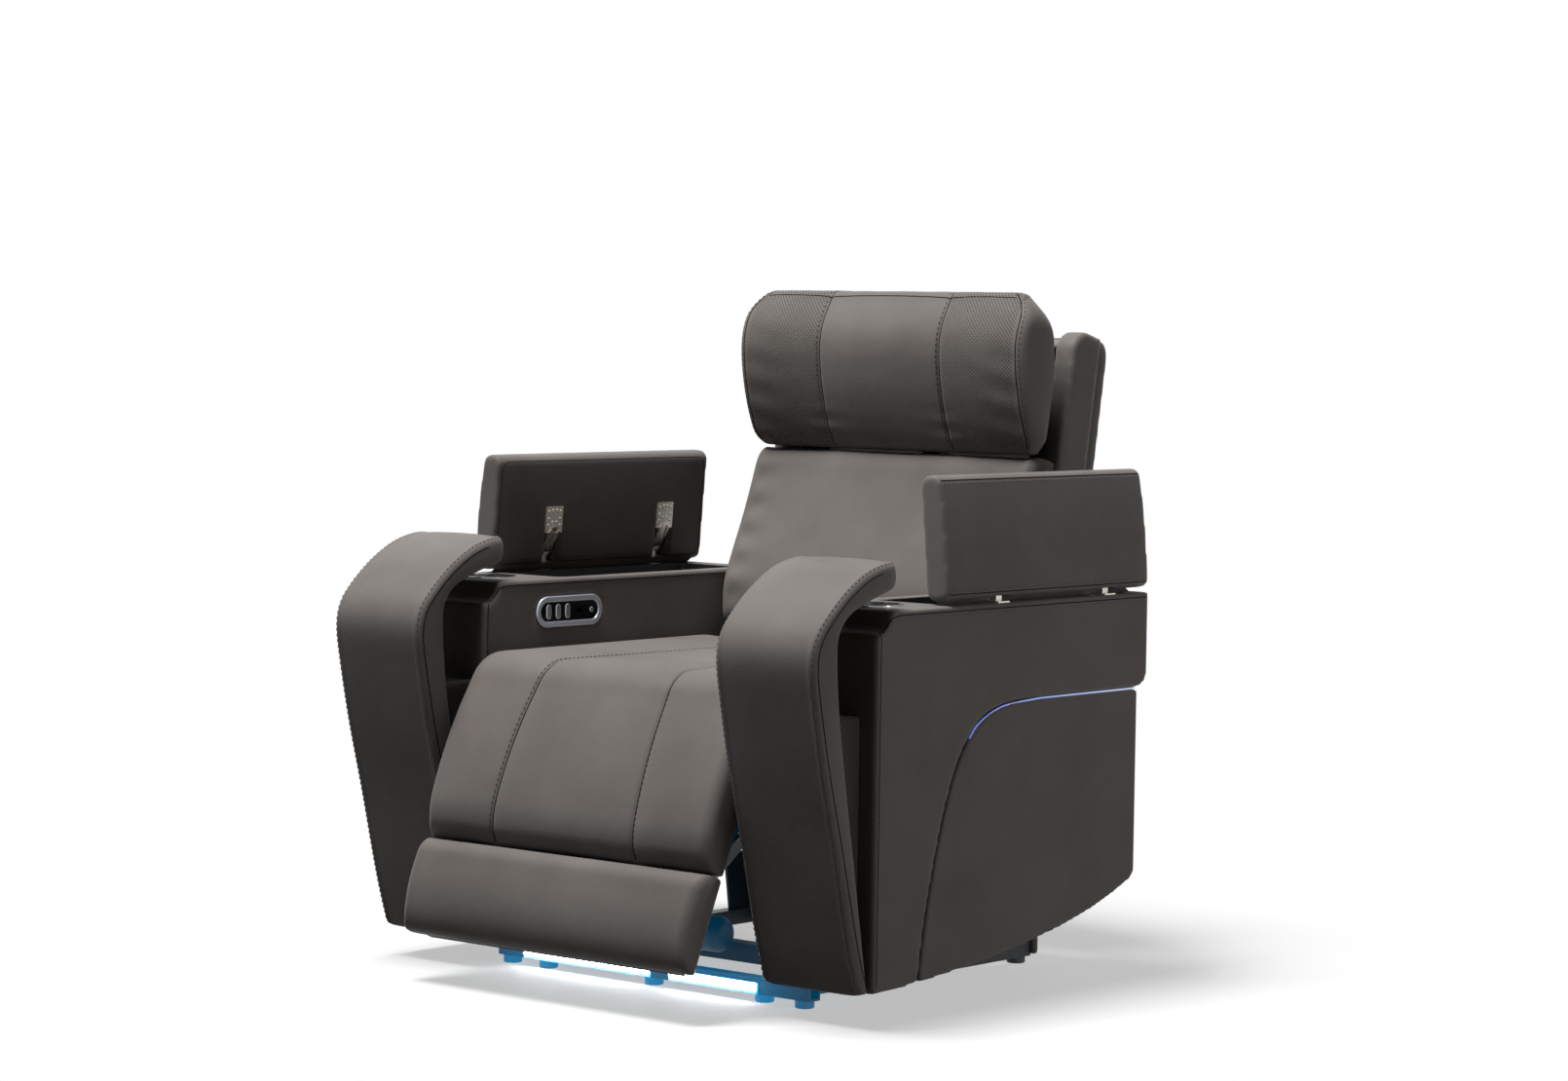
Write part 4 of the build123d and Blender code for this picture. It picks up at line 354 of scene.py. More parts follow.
def leather(name, colour, dark, perforated=False, gloss=0.43, wrinkle=1.0):
    """Pebbled leather: a mottled tint, small cells with a fine skin over them, and creases."""
    n = Surface(name)
    mottled = n.noise(60.0, 5.0, 0.6, n.place)
    cells = n.new("ShaderNodeTexVoronoi", {"Scale": 720.0, "Randomness": 1.0, "Vector": n.place},
                  feature="DISTANCE_TO_EDGE")
    pebbles = n.ramp(cells.outputs["Distance"], 0.0, 0.28)
    tint = n.mix(n.ramp(n.noise(7.0, 3.0, 0.5, n.place), 0.3, 0.7), dark, colour)
    tint = n.mix(n.product(n.ramp(mottled, 0.45, 0.75), 0.12), tint, dark)
    tint = n.mix(n.product(n.less(1.0, pebbles), 0.30), tint, dark)
    skin = n.product(n.noise(900.0, 2.0, 0.5, n.place), 0.15)
    normal = n.bump(n.math("ADD", n.product(pebbles, 0.35), skin), 0.22, 0.0006)
    creases = n.product(n.noise(26.0, 6.0, 0.62, n.place, 1.3), 0.35)
    creases = n.math("ADD", creases, n.noise(9.0, 2.0, 0.4, n.place, 0.4))
    normal = n.bump(creases, 0.30 * wrinkle, 0.004, normal)
    if perforated:
        holes = perforations(n)
        tint = n.mix(n.product(holes, 0.8), tint, srgb(20, 19, 18))
        normal = n.bump(holes, 0.35, 0.001, normal, invert=True)
    return n.shaded({
        "Normal": normal, "Base Color": tint, "Specular IOR Level": 0.06, "Sheen Weight": 0.08,
        "Sheen Roughness": 0.5, "Roughness": n.ramp(mottled, 0, 1, gloss - 0.05, gloss + 0.08)})


# metres: the lit strip's middle, half length and place, and how far the blue light painted near it
# carries
STRIP_X, STRIP_HALF, STRIP_Y, STRIP_Z, STRIP_FALL = -0.022, 0.247, -0.254, 0.025, 0.11


def painted_strip_light(n, strength):
    """Painted light: the blue that the strip on the front rail throws on what is near it, given as
    emission.
    """
    parts = n.xyz(n.place)
    beside = n.less(n.math("ABSOLUTE", n.less(parts[0], STRIP_X)), STRIP_HALF)
    away = (n.math("MAXIMUM", beside, 0.0), n.less(parts[1], STRIP_Y), n.less(parts[2], STRIP_Z))
    squares = [n.product(part, part) for part in away]
    far = n.math("SQRT", n.math("ADD", n.math("ADD", squares[0], squares[1]), squares[2]))
    fall = n.math("POWER", 2.718, n.math("DIVIDE", far, -STRIP_FALL))
    return n.mix(n.product(fall, strength), (0.0, 0.0, 0.0, 1.0), (0.0, 0.21, 0.46, 1.0))


def plain(name, colour, rough, metallic=0.0, speck=0.06, scale=140.0, bump=0.05, coat=0.0,
          worn=None, spec=0.5, painted_blue_light=0.0):
    """Metal, plastic, paint or cloth with a fine uneven tint, and, where asked, the strip's blue
    light painted on as emission.
    """
    n = Surface(name)
    grain = n.noise(scale, 5.0, 0.6, n.place)
    dark = tuple(c * 0.72 for c in colour[:3]) + (1.0,)
    tint = n.mix(n.product(n.ramp(grain, 0.35, 0.75), speck * 4), colour, dark)
    if worn:
        wear = n.ramp(n.noise(34.0, 6.0, 0.7, n.place), 0.62, 0.72)
        tint = n.mix(n.product(wear, 0.35), tint, worn)
    # painted light: the strip's blue glow on this surface, as emission
    if painted_blue_light:
        n.shaded({"Emission Color": painted_strip_light(n, painted_blue_light), "Emission Strength": 1.0})
    return n.shaded({
        "Base Color": tint, "Metallic": metallic, "Coat Weight": coat, "Specular IOR Level": spec,
        "Roughness": n.ramp(grain, 0, 1, max(rough - 0.06, 0.03), rough + 0.08),
        "Normal": n.bump(n.noise(scale * 5, 3.0, 0.5, n.place), bump, 0.0006)})


def wood(name):
    n = Surface(name)
    stretch = n.new("ShaderNodeMapping", {"Scale": (2.0, 14.0, 60.0), "Vector": n.place})
    grain = n.noise(4.0, 6.0, 0.6, stretch.outputs[0], 0.6)
    tint = n.mix(n.ramp(grain, 0.3, 0.7), srgb(196, 164, 118), srgb(164, 128, 84))
    return n.shaded({"Base Color": tint, "Roughness": 0.62, "Normal": n.bump(grain, 0.12, 0.0008)})


def glow(name, colour, strength, rear=None):
    """A lit strip. Where rear is given, its colour runs towards that one along the arm."""
    n = Surface(name)
    if rear:
        colour = n.mix(n.ramp(n.xyz(n.place)[1], -0.05, 0.33), colour, rear)
    return n.shaded({
        "Base Color": (0.7, 0.75, 0.8, 1.0), "Emission Color": colour,
        "Emission Strength": strength, "Roughness": 0.4,
        "Normal": n.bump(n.noise(400.0, 2.0, 0.5, n.place), 0.05, 0.0005)})


# ------------------------------------------------------------------ materials
HIDE, HIDE_DARK = srgb(120, 115, 111), srgb(107, 102, 98)
hide = leather("taupe_leather", HIDE, HIDE_DARK)
hide_plain = leather("taupe_leather_flat", HIDE, HIDE_DARK, wrinkle=0.5)
hide_holes = leather("taupe_leather_perforated", HIDE, HIDE_DARK, perforated=True, wrinkle=1.2)
# a darker copy of the taupe leather: painted shade for the arm infills
hide_painted_shade = leather("taupe_leather_painted_shade", srgb(74, 70, 66), srgb(62, 59, 56), wrinkle=0.8, gloss=0.5)
# black cloth round the boards and the back frame, kept dark so that the gaps between the pads, as
# under the headrest, show painted shade
cloth_and_shade = plain("black_cloth_and_painted_shade", srgb(24, 23, 23), 0.85, speck=0.1, scale=500.0, bump=0.4, spec=0.2)
thread = plain("thread", srgb(44, 41, 38), 0.7, speck=0.1, scale=800.0, bump=0.3)
seam_dark = plain("seam_shadow", srgb(26, 24, 22), 0.8, speck=0.05, scale=600.0, bump=0.2,
                  spec=0.1)
# the frame, the drive and the feet carry the strip's blue light, painted on as emission
steel = plain("black_steel", srgb(34, 36, 40), 0.42, metallic=0.35, worn=srgb(96, 98, 100),
              painted_blue_light=0.5)
zinc = plain("zinc_steel", srgb(176, 178, 182), 0.34, metallic=1.0, scale=220.0)
springs = plain("spring_wire", srgb(150, 150, 150), 0.35, metallic=1.0)
plastic = plain("drive_plastic", srgb(26, 27, 30), 0.46, bump=0.25, scale=260.0, painted_blue_light=0.6)
foot = plain("foot_plastic", srgb(30, 31, 33), 0.5, bump=0.25, scale=260.0, painted_blue_light=1.0)
tray = plain("tray_plastic", srgb(22, 21, 21), 0.6, bump=0.3, scale=300.0)
gloss_black = plain("gloss_black", srgb(10, 10, 12), 0.12, speck=0.02, bump=0.01, coat=0.6)
silver = plain("silver_paint", srgb(206, 212, 224), 0.34, metallic=0.7, speck=0.04, scale=500.0,
               bump=0.03, coat=0.3)
button = plain("button_silver", srgb(196, 200, 206), 0.2, metallic=0.85, speck=0.03, bump=0.01)
nickel = plain("nickel", srgb(230, 225, 212), 0.26, metallic=0.6, speck=0.05, scale=300.0,
               bump=0.03)
chrome = plain("polished_steel", srgb(214, 214, 216), 0.14, metallic=1.0, speck=0.04, scale=260.0,
               bump=0.02)
ply = wood("birch_ply")
led_front = glow("led_white", (0.88, 0.96, 1.0, 1.0), 26.0)
led_tape = glow("led_tape_blue", srgb(20, 150, 225), 1.6)
led_side = glow("led_side_blue", srgb(58, 100, 205), 0.8, srgb(186, 200, 226))

NODE_MATERIALS = (
    (steel, "frame_cross_rails base_side_rails seat_side_plates frame_brackets seat_frame"),
    (steel, "leg_rest_brackets drive_rods torque_tube back_plates back_hinge_tube"),
    (steel, "headrest_hinges headrest_lever"),
    (zinc, "frame_bolts pivot_pins rod_pins drive_channels drive_screws headrest_drive_channel"),
    (plastic, "leg_drive_motor back_drive_motor headrest_drive_motor"),
    (plastic, "leg_drive_slider back_drive_slider headrest_drive_slider"),
    (springs, "seat_springs back_springs"),
    # boards and back frame: black cloth, and painted shade in the gaps where they show
    (cloth_and_shade, "leg_rest_board back_frame headrest_board"),
    (foot, "glide_feet"),
    (ply, "arm_frames"),
    (chrome, "cup_holders"),
    (tray, "storage_trays"),
    (nickel, "hinge_bases lid_leaves_left lid_leaves_right"),
    (silver, "panel_bezel"),
    (gloss_black, "panel_housing usb_port power_inlet"),
    (button, "rocker_1 rocker_2 rocker_3 power_button"),
    (led_side, "led_strips"),
)
for material, names in NODE_MATERIALS:
    for name in names.split():
        nodes[name].data.materials.clear()
        nodes[name].data.materials.append(material)

# ------------------------------------------------------------------ frames of the part
LEAN = math.radians(9.5)
LEAN_COS, LEAN_SIN = math.cos(LEAN), math.sin(LEAN)
BACK_Y, BACK_Z = 300.0, 370.0


def back_world(v, y0=BACK_Y * MM, z0=BACK_Z * MM):
    """A place (x, y', z') of the back's lean frame, in metres, to the world."""
    x, y, z = v
    return (x, y0 + y * LEAN_COS + z * LEAN_SIN, z0 - y * LEAN_SIN + z * LEAN_COS)


def back_way(v):
    """A direction of the back's lean frame to the world."""
    return back_world(v, 0.0, 0.0)


def to_lean(p):
    """World (y, z) in millimetres to the lean frame of the back."""
    y, z = p[0] - BACK_Y, p[1] - BACK_Z
    return (y * LEAN_COS - z * LEAN_SIN, y * LEAN_SIN + z * LEAN_COS)


KNEE = np.array([-302.0, 440.0])
REST = math.radians(23.5)
DOWN = np.array([-math.sin(REST), -math.cos(REST)])
OUT = np.array([-math.cos(REST), math.sin(REST)])


def leg(s, n):
    """World (y, z) of a place on the leg rest, s down it from the knee and n out of its plane."""
    return KNEE + DOWN * s + OUT * n


# the lids' places are written in the frame of the shut lid, which stands open at rest
PIN_X, PIN_Z, LID_OPEN = 480.0, 642.0, math.radians(85)
LID_COS, LID_SIN = math.cos(LID_OPEN), math.sin(LID_OPEN)
LID_REACH, LID_LIP, LID_MIDDLE, LID_HALF = 170.0, 18.0, 112.5, 258.5


def to_shut(p):
    """World place in metres to the shut lid's frame in millimetres, mirrored to the left arm."""
    x, z = abs(p[0]) / MM - PIN_X, p[2] / MM - PIN_Z
    return (PIN_X + x * LID_COS - z * LID_SIN, p[1] / MM, PIN_Z + x * LID_SIN + z * LID_COS)


def shut_way(v, side):
    """A direction of the shut lid's frame back to the world."""
    x, y, z = v
    return (side * (x * LID_COS + z * LID_SIN), y, -x * LID_SIN + z * LID_COS)


def from_shut(p, side):
    """A place of the shut lid's frame back to the world."""
    x, y, z = shut_way((p[0] - PIN_X, p[1], p[2] - PIN_Z), 1)
    return (side * (PIN_X + x) * MM, y * MM, (PIN_Z + z) * MM)


# ------------------------------------------------------------------ pads, in millimetres
CORNER_SHARE, HALF_SHARE = 0.46, 0.9       # the most that a rounded edge takes of a pad
FULL_SWELL = 60.0                          # a pad this thick swells fully at its sides
SEAM_ROWS = (-5, -2.5, 0, 2.5, 5, 9)       # rows of vertices beside a seam
SEAM_CLEAR = 9


def section(i, half, tall, across, lift, r_top, r_bottom, swell):
    """Outline of a pad's section, (across, up): over its top, down, under it and up again."""
    r_top = min(r_top, CORNER_SHARE * tall, HALF_SHARE * half)
    r_bottom = min(r_bottom, CORNER_SHARE * tall, HALF_SHARE * half)
    flat, sole, shoulder = half - r_top, half - r_bottom, tall - r_top
    over = [(x, tall + lift(i, x, half)) for x in across * flat]
    flank = [(flat + r_top * math.cos(t), shoulder + r_top * math.sin(t))
             for t in map(math.radians, (72, 48, 24, 0))]
    flank += [(half + swell * math.sin(math.pi * k / 4) * min(1.0, tall / FULL_SWELL),
               shoulder - (shoulder - r_bottom) * k / 4) for k in (1, 2, 3)]
    flank += [(sole + r_bottom * math.cos(t), r_bottom - r_bottom * math.sin(t))
              for t in map(math.radians, (0, 30, 60))]
    under = [(sole * (1 - k / 4), 0.0) for k in range(9)]
    return over + flank + under + [(-x, up) for x, up in reversed(flank)]


def pad(name, tops, bottoms, halves, material, lift, r_top, r_bottom, swell, across=None,
        centre=0.0, to_world=None):
    """A padded form lofted along two chains of profile points.

    lift(i, x, half) is how far section i rises at x. across(i) gives its places from -1 to 1.
    """
    tops, bottoms = np.array(tops, float), np.array(bottoms, float)
    count = len(tops)
    halves = np.broadcast_to(np.array(halves, float), (count,))
    verts, faces = [], []
    for i in range(count):
        way = tops[i] - bottoms[i]
        tall = max(np.linalg.norm(way), 1e-6)
        way = way / tall
        places = across(i) if across else np.linspace(-1, 1, 41)
        outline = section(i, halves[i], tall, places, lift, r_top, r_bottom, swell)
        for x, up in outline:
            y, z = bottoms[i] + way * up
            verts.append((centre + x, y, z))
    size = len(outline)
    last = (count - 1) * size
    for start in range(0, last, size):
        faces += bridge(start, start + size, size)
    for start in (0, last):
        middle = len(verts)
        verts.append(tuple(np.mean(verts[start:start + size], axis=0)))
        for k in range(size):
            a, b = start + k, start + (k + 1) % size
            faces.append((a, b, middle) if start else (b, a, middle))
    verts = np.array(verts) * MM
    if to_world:
        verts = [to_world(v) for v in verts]
    obj = add_object(name, verts, faces, material)
    bm = bmesh.new()
    bm.from_mesh(obj.data)
    bmesh.ops.recalc_face_normals(bm, faces=bm.faces)
    bm.to_mesh(obj.data)
    bm.free()
    mod = obj.modifiers.new("subdivision", "SUBSURF")
    mod.levels = mod.render_levels = 1
    apply_modifiers(obj)
    smooth(obj)
    return obj


def seam_rows(seams, half, r_top):
    """Places across a pad from -1 to 1, crowded beside each seam."""
    flat = half - r_top
    starts = [-flat] + [x + SEAM_CLEAR for x in seams]
    ends = [x - SEAM_CLEAR for x in seams] + [flat]
    places = [-flat]
    for k, (a, b) in enumerate(zip(starts, ends)):
        places += list(np.linspace(a, b, 10))[1:]
        if k < len(seams):
            places += [seams[k] + d for d in SEAM_ROWS]
    return np.array(places) / flat


def groove(x, at, width, depth):
    return -depth * math.exp(-((x - at) / width) ** 2)


def rounded(half, left, radius):
    """Half a width near a rounded end, at a distance from its tip."""
    if left >= radius:
        return half
    return half - radius + math.sqrt(max(0.0, radius ** 2 - (radius - left) ** 2))


def through(tops, bottoms):
    """Directions from the top of a pad's profile through it."""
    return [(0, b[0] - t[0], b[1] - t[1]) for t, b in zip(tops, bottoms)]


# ------------------------------------------------------------------ seat and leg rest cover
HALF = 298.0                               # of seat, leg rest and back cushion
FLAT_REAR, FLAT_FRONT = 180.0, -215.0
SEAT_HIGH, SEAT_FRONT_HIGH, SEAT_LOW = 512.0, 510.5, 400.0
PAD_FACE, PAD_REAR, KNEE_REAR = 70.0, 15.0, 16.0     # out of the leg rest's plane
CALF = 125.0                                         # where its upper pad is thickest
CREASE_START, CREASE_BOW, CREASE_SPREAD = 250.0, 34.0, 26.0
CREASE_LEFT, CREASE_RIGHT = -118.0, 84.0
CREASE_WIDE, CREASE_DEEP = 3.2, 3.4

# a top and a bottom point each, from the rear of the seat over the knee to the foot pad
profile = [((223, 470), (223, 440)), ((222, 490), (222, 420)), ((216, 504), (216, 407)),
           ((204, 511), (204, 401))]
for y in np.linspace(FLAT_REAR, FLAT_FRONT, 26):
    sink = (SEAT_FRONT_HIGH - SEAT_HIGH) * (FLAT_REAR - y) / (FLAT_REAR - FLAT_FRONT)
    profile.append(((y, SEAT_HIGH + sink), (y, SEAT_LOW)))
for k, y in enumerate(np.linspace(-228, -294, 6)):
    profile.append(((y, 510.3), (y, SEAT_LOW + 58 * (k + 1) / 7)))
for angle in np.radians(90 + np.linspace(0, 60, 12)):
    ray = np.array([math.cos(angle), math.sin(angle)])
    profile.append((KNEE + ray * PAD_FACE, KNEE + ray * KNEE_REAR))
for s in list(np.linspace(8, 225, 22)) + [232, 238, 243, 247, 250]:
    crown = 12 * (1 - ((s - CALF) / CALF) ** 2)
    crown -= 13 * max(0.0, (s - 195) / 55) ** 2 + 8 * max(0.0, (s - 232) / 18) ** 2
    profile.append((leg(s, PAD_FACE + crown), leg(s, PAD_REAR)))
profile += [(leg(253.0, 44), leg(253.0, 18)), (leg(254.5, 34), leg(254.5, 26))]
seat_tops, seat_bottoms = (np.array(chain, float) for chain in zip(*profile))
run = lengths_along(seat_tops)


def crease_x(i, side):
    """The two long seams bow outward from the seat to the foot pad."""
    f = np.clip((run[i] - CREASE_START) / (run[-1] - CREASE_START), 0, 1)
    bow = CREASE_BOW * math.sin(f * math.pi * 0.5)
    return CREASE_LEFT - bow if side < 0 else CREASE_RIGHT + bow + CREASE_SPREAD * f


def chaise_across(i):
    return seam_rows((crease_x(i, -1), crease_x(i, 1)), HALF, 24)


def chaise_lift(i, x, w):
    a, b = crease_x(i, -1), crease_x(i, 1)
    lo, hi = (-w, a) if x < a else ((a, b) if x < b else (b, w))
    t = min(1.0, abs((x - (lo + hi) / 2) / ((hi - lo) / 2)))
    left = run[-1] - run[i]
    bulge = 8.0 * (1 - t ** 2.4) * (0.35 + 0.65 * np.clip((run[i] - 60) / 200, 0, 1))
    grooves = groove(x, a, CREASE_WIDE, CREASE_DEEP) + groove(x, b, CREASE_WIDE, CREASE_DEEP)
    ends = min(1.0, left / 26) * min(1.0, run[i] / 60)
    pucker = 0.0
    if left < 60:
        pucker = 1.3 * math.sin(x / 7.3 + 1.4 * math.sin(x / 23.0)) * math.exp(-left / 18.0)
    return (bulge + grooves - 6.0) * ends + pucker * (0.4 + (abs(x) / w) ** 3)


def over_knee(obj):
    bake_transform(obj)


chaise = pad("seat_and_leg_cover", seat_tops, seat_bottoms, HALF, hide, chaise_lift, r_top=24,
             r_bottom=8, swell=3.0, across=chaise_across)
for side, tag in SIDES:
    line = [(crease_x(i, side) * MM, seat_tops[i][0] * MM, seat_tops[i][1] * MM)
            for i in range(10, len(seat_tops) - 2)]
    ways = through(seat_tops[10:-2], seat_bottoms[10:-2])
    for made in seam(f"seat_seam_{tag}", chaise, line, ways, None, (side * 0.0046, 0, 0), 0.0014):
        over_knee(made)
over_knee(chaise)
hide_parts("seat_cushion", "leg_rest_upper_pad")

# ------------------------------------------------------------------ foot pad
profile = [(leg(s, n), leg(s, m)) for s, n, m in (
    (257.6, 36, 26), (258.2, 47, 18), (260.5, 55, PAD_REAR), (264, 60, PAD_REAR),
    (269, 64.5, PAD_REAR), (275, 68, PAD_REAR))]
profile += [(leg(s, PAD_FACE), leg(s, PAD_REAR)) for s in (283, 292, 301, 310)]
for angle in np.radians(range(7, 84, 7)):
    s = 310 + 97 * math.sin(angle)
    profile.append((leg(s, 28 + 42 * math.cos(angle)), leg(min(s, 405.5), PAD_REAR)))
profile.append((leg(407.5, 28), leg(407.5, 18)))
foot_tops, foot_bottoms = zip(*profile)


def foot_lift(i, x, w):
    f = i / (len(foot_tops) - 1)
    crown = 4.5 * (1 - (abs(x) / w) ** 3) * math.sin(math.pi * f ** 0.8)
    pucker = 0.9 * math.sin(x / 8.1 + math.sin(x / 19.0)) * math.exp(-i / 3.0)
    return crown - 4 * math.sin(math.pi * f) + pucker * (0.3 + (abs(x) / w) ** 3)


foot_pad = pad("foot_pad_cover", foot_tops, foot_bottoms, HALF, hide, foot_lift, r_top=22,
               r_bottom=8, swell=2.5)
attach(foot_pad, "leg_rest")
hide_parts("leg_rest_lower_pad")

# ------------------------------------------------------------------ back cushion
CUSHION_REAR = 12.0
face = curve_through([(-62, 136), (-88, 150), (-97, 178), (-100, 215), (-92, 257), (-74, 327),
                      (-62, 385), (-55, 425)], 40)
brow = curve_through([(-55, 425), (-48, 443), (-34, 454), (-16, 456)], 9)[1:]
back_tops = np.vstack([face, brow])
heights = np.concatenate([np.linspace(134, 434, len(face)), np.linspace(438, 452, len(brow))])
back_bottoms = [(CUSHION_REAR, z) for z in heights]


def back_lift(i, x, w):
    f = i / (len(back_tops) - 1)
    t = abs(x) / w
    crown = 9.0 * (1 - t ** 2.6) * math.sin(math.pi * f) ** 0.5 - 7.0
    tug = 0.0
    if t > 0.74:
        # folds where the cover is pulled to its side seams, weaker on the left
        tug = 4.6 * ((t - 0.74) / 0.26) ** 1.3 * math.sin(i * 0.95 + 2.4 * t)
        tug *= (0.6 if x > 0 else 1.0) * math.sin(math.pi * f) ** 0.6
    return crown + tug


back = pad("back_cushion_cover", back_tops, back_bottoms, HALF, hide, back_lift, r_top=26,
           r_bottom=6, swell=2.0, to_world=back_world)
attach(back, "back")
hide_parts("back_cushion")

# ------------------------------------------------------------------ headrest
HEAD_HALF, HEAD_MIN_HALF, HEAD_R = 304.0, 262.0, 62.0
HEAD_SEAM = 127.0
face = curve_through([to_lean(p) for p in (
    (345, 826), (332, 833), (321, 847), (311, 867), (301, 894), (292.5, 925), (287, 955),
    (284, 985), (285, 1010), (289.5, 1030), (297.5, 1048), (307, 1064), (314, 1074),
    (319, 1082))], 44)
brow = curve_through([to_lean(p) for p in ((319, 1082), (327, 1089), (339, 1090))], 6)[1:]
head_tops = np.vstack([face, brow])
head_bottoms = curve_through([(-20, 458), (-16, 500), (-16, 588), (-24, 636), (-34, 664),
                              (-54, 702), (-66, 713)], len(head_tops))
head_halves = [max(HEAD_MIN_HALF, rounded(HEAD_HALF, min((z - 449) * 2.1, 722 - z), HEAD_R))
               for _, z in head_tops]


def head_across(i):
    return seam_rows((-HEAD_SEAM, HEAD_SEAM), head_halves[i], 20)


def head_lift(i, x, w):
    f = i / (len(head_tops) - 1)
    far = abs(x)
    if far < HEAD_SEAM:
        t = far / HEAD_SEAM
    else:
        t = abs(far - (HEAD_SEAM + w) / 2) / ((w - HEAD_SEAM) / 2)
    ends = math.sin(math.pi * f) ** 0.45
    bulge = 7.5 * (1 - t ** 2.2) - 6.0
    grooves = groove(x, -HEAD_SEAM, 3.4, 4.2) + groove(x, HEAD_SEAM, 3.4, 4.2)
    tug = 1.5 * math.sin(i * 1.25 + x * 0.01) * math.exp(-abs(far - HEAD_SEAM) / 22.0)
    tug *= math.exp(-((f - 0.14) / 0.13) ** 2)
    fold = 1.6 * math.sin(i * 0.8 + x / 31.0) * math.exp(-((far - 262) / 40.0) ** 2) * (1 - f)
    gather = 1.5 * math.sin(x / 6.4 + 0.8 * math.sin(x / 17.0)) * math.exp(-(1 - f) / 0.085)
    return (bulge + grooves + fold) * ends + tug + gather


head = pad("headrest_cover", head_tops, head_bottoms, head_halves, hide_holes, head_lift,
           r_top=20, r_bottom=16, swell=2.0, across=head_across, to_world=back_world)


def tilts(obj):
    """Bakes the object's place into its mesh."""
    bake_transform(obj)


def on_head(x, top):
    """World place of a point of the headrest's profile, at x in millimetres."""
    return back_world((x * MM, top[0] * MM, top[1] * MM))


tilts(head)
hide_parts("headrest_pad")
head_ways = [back_way(way) for way in through(head_tops, head_bottoms)]
for side, tag in SIDES:
    line = [on_head(side * HEAD_SEAM, top) for top in head_tops[2:-2]]
    for made in seam(f"headrest_seam_{tag}", head, line, head_ways[2:-2], None, (-0.005, 0, 0)):
        tilts(made)
for side, tag in SIDES:
    line = [on_head(side * (half - 16), top)
            for top, half in zip(head_tops[3:-3], head_halves[3:-3])]
    for made in seam(f"headrest_edge_seam_{tag}", head, line, head_ways[3:-3], None,
                     (side * 0.0055, 0, 0)):
        tilts(made)
line = [on_head(x, head_tops[-6]) for x in np.linspace(-HEAD_MIN_HALF, HEAD_MIN_HALF, 90)]
seam("headrest_top_seam", head, line, [back_way((0, 0.9, -0.45))] * len(line), "headrest")

# ------------------------------------------------------------------ hooked arm fronts
ARM_MIDDLE, HOOK_HALF, HOOK_R = 404.0, 96.0, 46.0
hook_tops = np.vstack([
    curve_through([(-340, 50), (-358, 98), (-376, 164), (-403, 277), (-432, 389), (-452, 484),
                   (-461, 545), (-453, 583), (-428, 614), (-386, 649), (-338, 676), (-296, 688),
                   (-272, 690)], 90),
    curve_through([(-272, 690), (-260, 686), (-253, 678)], 5)[1:]])
hook_bottoms = np.vstack([
    curve_through([(-322, 50), (-338, 143), (-359, 260), (-380, 376), (-395, 469), (-402, 555),
                   (-397, 588), (-374, 613), (-330, 631), (-290, 643), (-270, 648)], 90),
    curve_through([(-270, 648), (-258, 656), (-252, 664)], 5)[1:]])
arc = lengths_along(hook_tops)
hook_halves = [rounded(HOOK_HALF, arc[-1] - at + 4, HOOK_R) for at in arc]


def hook_lift(i, x, w):
    return 4.0 * (1 - (abs(x) / w) ** 2.2) - 3.5


for side, tag in SIDES:
    hook = pad(f"arm_hook_{tag}", hook_tops, hook_bottoms, hook_halves, hide, hook_lift,
               r_top=13, r_bottom=8, swell=1.0, centre=side * ARM_MIDDLE)
    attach(hook, "base")
    if side > 0:
        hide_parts("arm_hooks")
    for outward, edge in ((-1, "inner"), (1, "outer")):
        line = []
        for k in range(2, len(hook_tops) - 8):
            way = hook_bottoms[k] - hook_tops[k]
            way /= np.linalg.norm(way)
            y, z = hook_tops[k] + way * (17.0 - 4.0 * k / len(hook_tops))
            line.append(((side * ARM_MIDDLE + outward * (HOOK_HALF - 2)) * MM, y * MM, z * MM))
        seam(f"hook_seam_{edge}_{tag}", hook, line, [(-outward, 0, 0)] * len(line), "base")
        line = [((side * ARM_MIDDLE + outward * (half - 5)) * MM, y * MM, z * MM)
                for (y, z), half in zip(hook_tops[1:-3], hook_halves[1:-3])]
        stitches(f"hook_stitches_{edge}_{tag}", hook, line,
                 through(hook_tops[1:-3], hook_bottoms[1:-3]), "base")

# ------------------------------------------------------------------ arm boxes, panels, shell
ARM_OUT, ARM_IN, BOX_TOP = 500.0, 308.0, 609.0
for side, tag in SIDES:
    cover = soften(f"arm_cover_{tag}", f"arm_box_{tag}", hide_plain, "base", 0.005, 5, 0.0008)
    for x, low, rear, inward, edge in ((ARM_OUT, 60, 360, -side, "outer"),
                                       (ARM_IN, 500, 335, side, "inner")):
        outline = curve_through([(-306, low), (-306, 540), (-304, 580), (-292, 600), (-268, 608),
                                 (-230, BOX_TOP), (-60, BOX_TOP), (rear, BOX_TOP)], 200)
        line = [(side * x * MM, y * MM, z * MM) for y, z in outline]
        seam(f"arm_seam_{edge}_{tag}", cover, line, [(inward, 0, 0)] * len(line), "base",
             (0, 0, -0.005))
for padding in (("arm_side_panels", "side_panels", hide_plain, "base", 0.004, 6, 0.0006),
                # the arm infills take the darker copy of the leather, which is painted shade
                ("arm_infills", "arm_infill_panels", hide_painted_shade, "base", 0.005, 5, 0.0005),
                ("back_shell", "back_shell_cover", hide, "back", 0.006, 10, 0.001),
                ("back_wings", "back_wing_covers", hide, "back", 0.005, 10, 0.0008),
                ("rear_lower_panel", "rear_panel_cover", hide_plain, "base", 0.004, 3, 0.0004)):
    soften(*padding)

# a leather band closes the top of the back between the wings, from the top rail to the shell
BAND_HALF, BAND_LOW, BAND_HIGH, BAND_T, BAND_COLUMNS = 267.0, 640.8, 664.0, 2.6, 46
